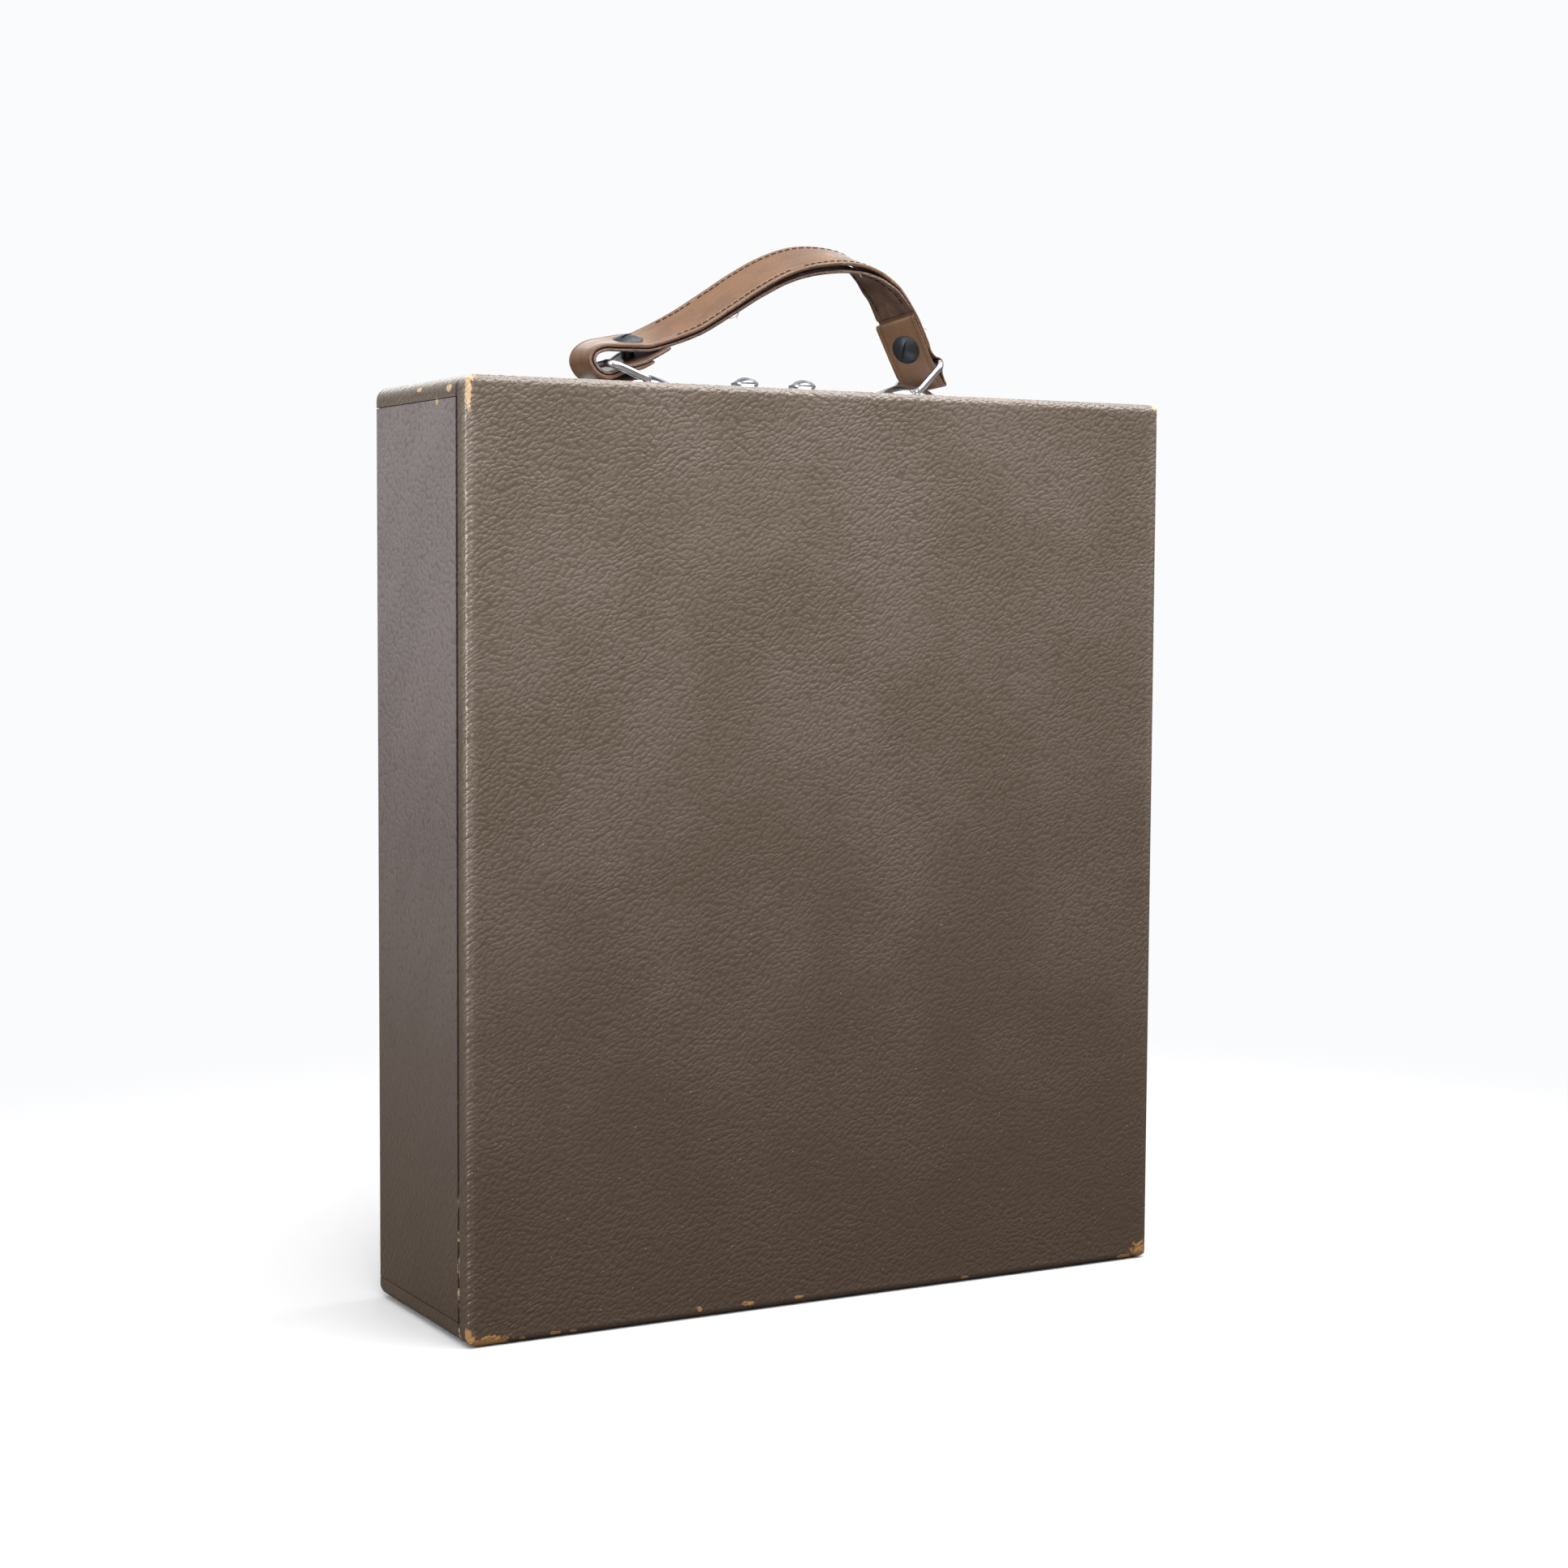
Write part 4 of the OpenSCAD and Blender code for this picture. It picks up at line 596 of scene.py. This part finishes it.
def droop(u):
    """Share of ARCH_GAP that the liner hangs away from the strap at step u."""
    t = min(max((u - ARCH_START) / (ARCH_END - ARCH_START), 0), 1)
    return math.sin(math.pi * t) ** 2


def head_seats():
    """Places where a head presses on leather: centre of its base, direction away from the leather, radius."""
    seats = []
    for a, b in ((LEFT_SCREW_AT, LEFT_SEAT_AT), (RIGHT_SCREW_AT, RIGHT_SEAT_AT)):
        pa, fa, _ = strap_frame(a)
        pb, fb, _ = strap_frame(b)
        seats.append((pa + (half_at(a) - HEAD_SINK) * fa, fa, SCREW_HEAD_R))
        depth = ((pa - pb).dot(fb) - half_at(b)) / fa.dot(fb)
        seats.append((pa - (depth - HEAD_SINK) * fa, fb, POST_HEAD_R))
    return seats


SEATS = head_seats()
PRESS_REACH, PRESS_SLOPE = 1.6, 0.55


def press(point):
    """A point of the leather, pushed back where a screw or post head lies on it."""
    for centre, out, radius in SEATS:
        to = point - centre
        height = to.dot(out)
        side = (to - height * out).length
        if side < radius + PRESS_REACH and -0.5 < height < 1.0:
            limit = -0.03 + max(side - radius - 0.1, 0) * PRESS_SLOPE
            if height > limit:
                point = point - (height - limit) * out
    return point


def section(thick, border, groove):
    """Outline of a leather band: (across, height) with a pressed line inside each edge, front edge first."""
    half, r, crown = HALF_STRAP, min(0.42, thick * 0.3), 0.05
    from_line = (0.42, 0.16, 0, -0.16, -0.42)
    stops = [half - r, half - 0.75, half - 1.1] + [half - border + d for d in from_line]
    stops += [half - 2.9, half - 4.4, half - 6.4, 0]
    stops = sorted(set(round(s, 3) for s in stops), reverse=True)
    top = []
    for s in stops + [-s for s in reversed(stops[:-1])]:
        dip = groove * math.exp(-((abs(s) - (half - border)) / 0.24) ** 2)
        top.append((s, thick / 2 - dip - crown * (s / half) ** 2))
    corner = [(math.sin(math.radians(a)), math.cos(math.radians(a))) for a in (22.5, 45, 67.5)]
    right = [(half - r + r * s, thick / 2 - crown - r + r * c) for s, c in corner]
    low = [(s, -h) for s, h in right]
    back = [(s, -thick / 2 + 0.02) for s in (half - r, half - 2, half - 5, 0, 5 - half, 2 - half, r - half)]
    left_top = [(-s, h) for s, h in reversed(right)]
    # From the middle of the front edge down, along the back, up the far edge and over the top
    return ([(half, 0)] + low[::-1] + back + [(-s, h) for s, h in low] + [(-half, 0)]
            + left_top + top[::-1] + right)


def steps(u0, u1, longest=0.8):
    """Steps along the line at most about longest mm apart, close enough to draw its folds round."""
    us, u = [u0], u0
    while u < u1 - 1e-6:
        jump = 0.25
        while jump > 0.02 and (strap_frame(min(u + jump, u1))[0] - strap_frame(u)[0]).length > longest:
            jump *= 0.7
        u = min(u + jump, u1)
        us.append(u)
    return us


def lengths_at(us):
    """How far each step lies along the line, in mm from the first."""
    lengths, before = [0.0], strap_frame(us[0])[0]
    for u in us[1:]:
        point = strap_frame(u)[0]
        lengths.append(lengths[-1] + (point - before).length)
        before = point
    return lengths


def band_ring(outline, u, length, total, under, seed, skive):
    """One ring of a band's points, with a slight wave, nicks in the edges and a thinner, rounded end."""
    point, out, wide = strap_frame(u)
    share, narrow = on_line(u)[3:]
    from_end = min(length / skive[0] if skive[0] else 1, (total - length) / skive[1] if skive[1] else 1, 1)
    slim = share * (0.55 + 0.45 * from_end)
    narrow *= 1 - 0.035 * max(0, 1 - min(length, total - length) / 1.2) ** 2
    lift = -(below(u) + ARCH_GAP * droop(u)) if under else 0
    ring = []
    for s, h in outline:
        wave = 0.10 * share * noise.noise(Vector((length * 0.09, s * 0.12, seed)))
        nick = 0.12 * noise.noise(Vector((length * 0.45, seed * 3.1, 9.0 if s > 0 else 2.0)))
        at_edge = max(0.0, abs(s) - 7.5) / 1.5
        across = s * narrow + math.copysign(nick * at_edge, s)
        ring.append(press(point + across * wide + (h * slim + lift + wave) * out) * MM)
    return ring


def band(name, u0, u1, thick, under, look, border, groove, seed, skive):
    """A leather layer swept along the strap's line. skive: how long its first and last ends thin, in mm."""
    outline = section(thick, border, groove)
    if under:
        outline = [(s, -h) for s, h in reversed(outline)]
    us = steps(u0, u1)
    lengths = lengths_at(us)
    bm = bmesh.new()
    uv = bm.loops.layers.uv.new("strip")
    rings = [[bm.verts.new(q) for q in band_ring(outline, u, length, lengths[-1], under, seed, skive)]
             for u, length in zip(us, lengths)]
    size = len(outline)
    for k in range(len(us) - 1):
        for j in range(size):
            j2 = (j + 1) % size
            corners = ((k, j), (k, j2), (k + 1, j2), (k + 1, j))
            face = bm.faces.new([rings[kk][jj] for kk, jj in corners])
            for loop, (kk, jj) in zip(face.loops, corners):
                loop[uv].uv = (lengths[kk] / UV_SCALE, outline[jj][0] / UV_SCALE)
    for ring in (rings[0][::-1], rings[-1]):
        for loop in bm.faces.new(ring).loops:
            loop[uv].uv = (0, (HALF_STRAP + 0.2) / UV_SCALE)
    return piece(name, finish_mesh(bm, name), look, "handle")


strap = band("strap_outer", STRAP_FROM, LAST, STRAP_T, False, "strap", STRAP_BORDER, STRAP_GROOVE, 1.7, (5.0, 0))
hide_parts("strap")
liner = band("strap_inner", 0, LINER_END, LINER_T, True, "liner", LINER_BORDER, LINER_GROOVE, 5.3, (0, 6.0))
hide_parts("strap_liner")


def tube(bm, points, radius, sides=6):
    """A closed round tube through points, in mm, added to a bmesh in metres."""
    rings = []
    for k, point in enumerate(points):
        ahead = points[min(k + 1, len(points) - 1)] - points[max(k - 1, 0)]
        ahead.normalize()
        first = ahead.orthogonal().normalized()
        second = ahead.cross(first)
        end = 0.45 if k in (0, len(points) - 1) else 1.0
        ring = []
        for j in range(sides):
            angle = 2 * math.pi * j / sides
            aside = math.cos(angle) * first + math.sin(angle) * second
            ring.append(bm.verts.new((point + radius * end * aside) * MM))
        if rings:
            # Keep the rings aligned with each other
            shift = min(range(sides), key=lambda i: (ring[i].co - rings[-1][0].co).length)
            ring = ring[shift:] + ring[:shift]
        rings.append(ring)
    for a, b in zip(rings, rings[1:]):
        for j in range(sides):
            bm.faces.new((a[j], a[(j + 1) % sides], b[(j + 1) % sides], b[j]))
    bm.faces.new(rings[0][::-1])
    bm.faces.new(rings[-1])


def arc_steps(u0, u1, pitch):
    """Steps along the line that lie pitch apart in mm."""
    out, run, u, before = [], 0.0, u0, strap_frame(u0)[0]
    while u < u1:
        u += 0.01
        point = strap_frame(u)[0]
        run += (point - before).length
        before = point
        if run >= pitch:
            run -= pitch
            out.append(u)
    return out


def stitch_row(bm, rng, u0, u1, pitch, across, under, missing):
    """A row of thread stitches that dip into the leather at both ends."""
    stops = arc_steps(u0, u1, pitch)
    for k, (a, b) in enumerate(zip(stops, stops[1:])):
        if k in missing or rng.random() < 0.03:
            continue
        points = []
        lean = rng.uniform(0.1, 0.3)
        for t in (0.1, 0.2, 0.36, 0.52, 0.68, 0.8, 0.9):
            u = a + (b - a) * t
            point, out, wide = strap_frame(u)
            high = math.sin(math.pi * (t - 0.1) / 0.8) ** 0.5 * 0.3 - 0.26 + rng.random() * 0.06
            if under:
                rise = -(below(u) + ARCH_GAP * droop(u) + LINER_T / 2 * on_line(u)[3] + high)
            else:
                rise = half_at(u) - 0.04 + high
            points.append(press(point + (across + lean * (t - 0.5)) * wide + rise * out))
        tube(bm, points, THREAD_R)


rng = random.Random(11)
bm = bmesh.new()
for side, missing in ((1, (19, 20)), (-1, ())):
    stitch_row(bm, rng, 11.4, RIGHT_START + 0.7, STITCH_PITCH, side * (HALF_STRAP - STRAP_BORDER), False, missing)
stitches = piece("strap_stitches", finish_mesh(bm, "strap_stitches"), "thread", "handle")
bm = bmesh.new()
for side in (1, -1):
    stitch_row(bm, rng, 11.8, RIGHT_START + 0.5, LINER_PITCH, side * (HALF_STRAP - LINER_BORDER), True, ())
liner_stitches = piece("liner_stitches", finish_mesh(bm, "liner_stitches"), "thread", "handle")


def loose_end(bm, u, across, rise, bends):
    """A frayed thread that leaves the strap at step u: bends are its further points, in mm from there."""
    point, out, wide = strap_frame(u)
    along = out.cross(wide)
    start = point + across * wide + rise * out
    knots = [start - 0.5 * out, start] + [start + a * along + b * wide + c * out for a, b, c in bends]
    points = [a.lerp(b, t) for a, b in zip(knots, knots[1:]) for t in (0, 0.5)]
    tube(bm, points + [knots[-1]], LOOSE_R, 5)


bm = bmesh.new()
loose_end(bm, 12.9, 8.8, -3.2, [(1.5, 0.5, -0.5), (3.0, 0.7, -0.2), (4.6, 0.4, 0.4)])
loose_end(bm, 13.2, 8.7, -3.3, [(-1.2, 0.6, -0.6), (-2.4, 0.9, -1.0)])
loose_end(bm, 18.0, 8.9, -3.0, [(0.8, 0.4, -0.8), (1.8, 0.5, -1.2)])
loose_end(bm, RIGHT_START + 2.0, 9.0, 0.1, [(0.4, 0.5, 0.5), (1.0, 0.8, 1.0)])
loose = piece("loose_threads", finish_mesh(bm, "loose_threads"), "loose", "handle")


def slotted_screws(name, node, places, direction, head_r, shank_r, length, look, body, slot_turn):
    """Countersunk screws with a sawn slot, in place of the node's plain ones."""
    turn = Vector((0, 0, 1)).rotation_difference(Vector(direction)).to_matrix().to_4x4()
    rng = random.Random(name)
    bm = bmesh.new()
    steps_round, half_slot, slot_z = 14, head_r * 0.13, -head_r * 0.24
    start = math.asin(half_slot / head_r)
    arc = [start + (math.pi - 2 * start) * k / steps_round for k in range(steps_round + 1)]
    for place in places:
        spin = Matrix.Rotation(math.radians(slot_turn) + rng.uniform(-0.5, 0.5), 4, "Z")
        move = Matrix.Translation(Vector(place)) @ turn @ spin
        halves = []
        for side in (1, -1):
            rim = [Vector((head_r * math.cos(a), side * head_r * math.sin(a), 0)) for a in arc]
            top = [bm.verts.new(p) for p in rim]
            inner = [bm.verts.new((p.x, side * half_slot, slot_z)) for p in (rim[0], rim[-1])]
            bm.faces.new(top if side > 0 else top[::-1])
            bm.faces.new((top[0], inner[0], inner[1], top[-1]))
            halves.append((top, inner))
        (t1, i1), (t2, i2) = halves
        bm.faces.new((i1[0], i2[0], i2[1], i1[1]))
        around = t1 + [i1[1], i2[1]] + t2[::-1] + [i2[0], i1[0]]
        cone = [bm.verts.new(Vector((v.co.x, v.co.y, 0)).normalized() * shank_r - Vector((0, 0, head_r - shank_r)))
                for v in around]
        shank = [bm.verts.new((v.co.x, v.co.y, -length + 1.2)) for v in cone]
        tip = bm.verts.new((0, 0, -length))
        for j in range(len(around)):
            j2 = (j + 1) % len(around)
            for ring_a, ring_b in ((around, cone), (cone, shank)):
                bm.faces.new((ring_a[j], ring_a[j2], ring_b[j2], ring_b[j]))
            bm.faces.new((shank[j], shank[j2], tip))
        fresh = [v for v in bm.verts if not v.tag]
        bmesh.ops.transform(bm, matrix=Matrix.Scale(MM, 4) @ move, verts=fresh)
        for v in fresh:
            v.tag = True
    made = piece(name, finish_mesh(bm, name), look, body, smooth=False)
    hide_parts(node)


def binding_head(name, node, u, slot_turn, thread):
    """A domed screw head with its sawn slot, lying on the strap at step u, in place of the CAD one."""
    rise, shank_r, dome_steps, saw_w = 2.0, 1.5, 12, 1.2
    dome_r = (SCREW_HEAD_R ** 2 + rise ** 2) / (2 * rise)
    profile = [(0, -thread), (shank_r, -thread), (shank_r, 0), (SCREW_HEAD_R - 0.15, 0), (SCREW_HEAD_R, 0.15)]
    for k in range(dome_steps):
        r = SCREW_HEAD_R * 0.985 * (1 - k / dome_steps)
        profile.append((r, math.sqrt(dome_r ** 2 - r ** 2) - dome_r + rise))
    profile.append((0, rise))
    bm = bmesh.new()
    verts = [bm.verts.new((r * MM, 0, h * MM)) for r, h in profile]
    edges = [bm.edges.new(pair) for pair in zip(verts, verts[1:])]
    bmesh.ops.spin(bm, geom=verts + edges, cent=(0, 0, 0), axis=(0, 0, 1), angle=2 * math.pi, steps=72)
    bmesh.ops.remove_doubles(bm, verts=bm.verts, dist=1e-6)
    solid = bpy.data.objects.new(name + "_solid", finish_mesh(bm, name + "_solid"))
    bm = bmesh.new()
    saw = Matrix.Translation((0, 0, (rise + 1) * MM)) @ Matrix.Diagonal((30 * MM, saw_w * MM, 4 * MM, 1))
    bmesh.ops.create_cube(bm, size=1, matrix=Matrix.Rotation(math.radians(slot_turn), 4, "Z") @ saw)
    cutter = bpy.data.objects.new(name + "_saw", finish_mesh(bm, name + "_saw"))
    for made in (solid, cutter):
        bpy.context.scene.collection.objects.link(made)
    cut = solid.modifiers.new("slot", "BOOLEAN")
    cut.operation, cut.solver, cut.object = "DIFFERENCE", "EXACT", cutter
    whole = solid.evaluated_get(bpy.context.evaluated_depsgraph_get())
    mesh = bpy.data.meshes.new_from_object(whole)
    mesh.name = name
    point, out, wide = strap_frame(u)
    along = wide.cross(out)
    axes = Matrix((along, out.cross(along), out)).transposed().to_4x4()
    mesh.transform(Matrix.Translation((point + (half_at(u) - HEAD_SINK) * out) * MM) @ axes)
    for made in (solid, cutter):
        bpy.data.objects.remove(made)
    mesh.materials.clear()
    head = piece(name, mesh, "black", "handle")
    mesh.set_sharp_from_angle(angle=math.radians(28))
    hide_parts(node)


binding_head("left_screw_slotted", "left_screw", LEFT_SCREW_AT, 24, 4.0)
binding_head("right_screw_slotted", "right_screw", RIGHT_SCREW_AT, -34, 2.4)

# Places of the small screws in mm, where the CAD model has them
LOCK_SCREWS = [(FITTINGS_X + x, 0, 351.0) for x in (-21.75, 21.75)]
HOUSE_SCREWS = [(FITTINGS_X + x, 0, 342.2) for x in (-26.35, 26.35)]
STRIKE_SCREWS = [(FITTINGS_X + x, 31.1, 324.8) for x in (-22.55, 22.55)]
SHELL_SCREWS = [(m + x, y, 0.1) for m in (-84, 84) for x, y in ((-14, 26.5), (14, 26.5), (0, 33.5))]
PANEL_SCREWS = [(m + x, 42.4, z) for m in (-84, 84) for x in (-14, 14) for z in (17.2, 37.4)]
FOOT_SCREWS = [(x, 44.4, z) for x in (-125.3, 125.3) for z in (28.2, 321.8)]
UP, DOWN, TO_FRONT, TO_BACK = (0, 0, 1), (0, 0, -1), (0, -1, 0), (0, 1, 0)
for name, node, places, direction, head_r, shank_r, length, look, body, slot_turn in [
    ("lock_plate_screws_slotted", "lock_plate_screws", LOCK_SCREWS, UP, 2.2, 1.3, 5.2, "chrome", "shell", 20),
    ("housing_screws_slotted", "lock_housing_screws", HOUSE_SCREWS, DOWN, 2.2, 1.3, 5.2, "steel", "shell", 70),
    ("strike_screws_slotted", "strike_screws", STRIKE_SCREWS, TO_FRONT, 2.2, 1.3, 6.2, "steel", "panel", 40),
    ("shell_leaf_screws_slotted", "hinge_screws_shell", SHELL_SCREWS, DOWN, 2.4, 1.3, 5.2, "steel", "shell", 10),
    ("panel_leaf_screws_slotted", "hinge_screws_panel", PANEL_SCREWS, TO_BACK, 2.4, 1.3, 6.2,
     "steel", "panel", 55),
    ("feet_screws_slotted", "feet_screws", FOOT_SCREWS, TO_BACK, 3.0, 1.5, 9.0, "steel", "panel", 30),
]:
    slotted_screws(name, node, places, direction, head_r, shank_r, length, look, body, slot_turn)


# Studio: a pale floor that fades to white round the case. Only the camera sees it so, and to all other
# rays it is a dull warm ground, as the table of the photograph is
FLOOR_HALF, FLOOR_DROP = 30, 0.0004
FADE_FROM, FADE_TO = 260, 700
WHITE = (0.96, 0.965, 0.975, 1)
floor_mesh = bpy.data.meshes.new("studio_floor")
corners = [(FLOOR_HALF * x, FLOOR_HALF * y, 0) for x, y in ((-1, -1), (1, -1), (1, 1), (-1, 1))]
floor_mesh.from_pydata(corners, [], [(0, 1, 2, 3)])
floor = bpy.data.objects.new("studio_floor", floor_mesh)
bpy.context.scene.collection.objects.link(floor)
floor.location.z = -FLOOR_DROP
ground = Net("floor_white", Roughness=0.9, Specular_IOR_Level=0.1, Base_Color=(0.84, 0.84, 0.85, 1))
bright = ground.node("Emission")
bright.inputs["Color"].default_value = WHITE
bounce = ground.node("BsdfDiffuse")
bounce.inputs["Color"].default_value = (0.26, 0.22, 0.18, 1)
away = ground.vmath("LENGTH", ground.mm, out=1)
seen_by_eye = ground.node("LightPath").outputs["Is Camera Ray"]
fade, eye = ground.node("MixShader"), ground.node("MixShader")
for mixer, parts in (
    (fade, (ground.step(away, FADE_FROM, FADE_TO), ground.shader.outputs[0], bright.outputs[0])),
    (eye, (seen_by_eye, bounce.outputs[0], fade.outputs[0])),
):
    for socket, part in zip(mixer.inputs, parts):
        ground.feed(socket, part)
ground.feed(ground.tree.nodes["Material Output"].inputs["Surface"], eye.outputs[0])
floor_mesh.materials.append(ground.mat)

world = bpy.data.worlds.new("studio")
bpy.context.scene.world = world
world.use_nodes = True
tree = world.node_tree
tree.nodes.clear()


def background(colour, strength):
    """One plain light of the world."""
    made = tree.nodes.new("ShaderNodeBackground")
    made.inputs["Color"].default_value = colour
    made.inputs["Strength"].default_value = strength
    return made


def choose(factor, first, second):
    """The first of two lights where the factor is 0, and the second where it is 1."""
    made = tree.nodes.new("ShaderNodeMixShader")
    for socket, item in zip(made.inputs, (factor, first.outputs[0], second.outputs[0])):
        tree.links.new(item, socket)
    return made


# The camera sees white. Shiny pieces mirror darker walls under a bright ceiling, and the rest is dim light
WALL_TOP, CEILING_FROM = 0.05, 0.55
SOFT = (0.98, 0.985, 1, 1)
paths = tree.nodes.new("ShaderNodeLightPath")
direction = tree.nodes.new("ShaderNodeSeparateXYZ")
tree.links.new(tree.nodes.new("ShaderNodeTexCoord").outputs["Generated"], direction.inputs[0])
height = tree.nodes.new("ShaderNodeMapRange")
height.interpolation_type = "SMOOTHSTEP"
height.inputs["From Min"].default_value = WALL_TOP
height.inputs["From Max"].default_value = CEILING_FROM
tree.links.new(direction.outputs[2], height.inputs["Value"])
mirrored = choose(height.outputs[0], background((0.95, 0.96, 1, 1), 0.3), background(SOFT, 0.85))
lit = choose(paths.outputs["Is Glossy Ray"], background(SOFT, 0.26), mirrored)
shown = choose(paths.outputs["Is Camera Ray"], lit, background(WHITE, 1.0))
tree.links.new(shown.outputs[0], tree.nodes.new("ShaderNodeOutputWorld").inputs["Surface"])


def lamp(name, place, aim, size, watts):
    """A soft rectangular lamp at place that points to aim, in metres."""
    light = bpy.data.lights.new(name, "AREA")
    light.shape = "RECTANGLE"
    light.size, light.size_y = size
    light.energy = watts
    made = bpy.data.objects.new(name, light)
    bpy.context.scene.collection.objects.link(made)
    made.location = place
    made.rotation_euler = (Vector(aim) - Vector(place)).to_track_quat("-Z", "Y").to_euler()


lamp("lamp_top", (0.1, -0.35, 1.1), (0, -0.1, 0.3), (1.7, 0.9), 23)
lamp("lamp_left", (-1.3, -0.35, 0.47), (-0.15, 0, 0.3), (0.22, 0.75), 8)
lamp("lamp_front", (-0.9, -1.6, 1.2), (0, 0, 0.25), (0.8, 0.8), 8)
lamp("lamp_back", (0.5, 1.4, 1.1), (0, 0, 0.25), (1.2, 0.8), 6)

# The camera stands where the photograph was taken from: solved from the case's edges
CAMERA_AT, LENS = Vector((-0.53181, -0.96158, 0.27326)), 63.69
yaw, pitch, roll = math.radians(29.115), math.radians(-3.946), math.radians(0.328)
forward = Vector((math.sin(yaw) * math.cos(pitch), math.cos(yaw) * math.cos(pitch), math.sin(pitch)))
level = Vector((math.cos(yaw), -math.sin(yaw), 0))
upward = level.cross(forward)
right = math.cos(roll) * level + math.sin(roll) * upward
above = -math.sin(roll) * level + math.cos(roll) * upward
camera_data = bpy.data.cameras.new("camera")
camera_data.lens = LENS
camera_data.sensor_width = 36
camera_data.clip_start = 0.01
camera = bpy.data.objects.new("camera", camera_data)
bpy.context.scene.collection.objects.link(camera)
turn = Matrix((right, above, -forward)).transposed()
camera.matrix_world = Matrix.Translation(CAMERA_AT) @ turn.to_4x4()
bpy.context.scene.camera = camera
bpy.context.scene.view_settings.view_transform = "Standard"
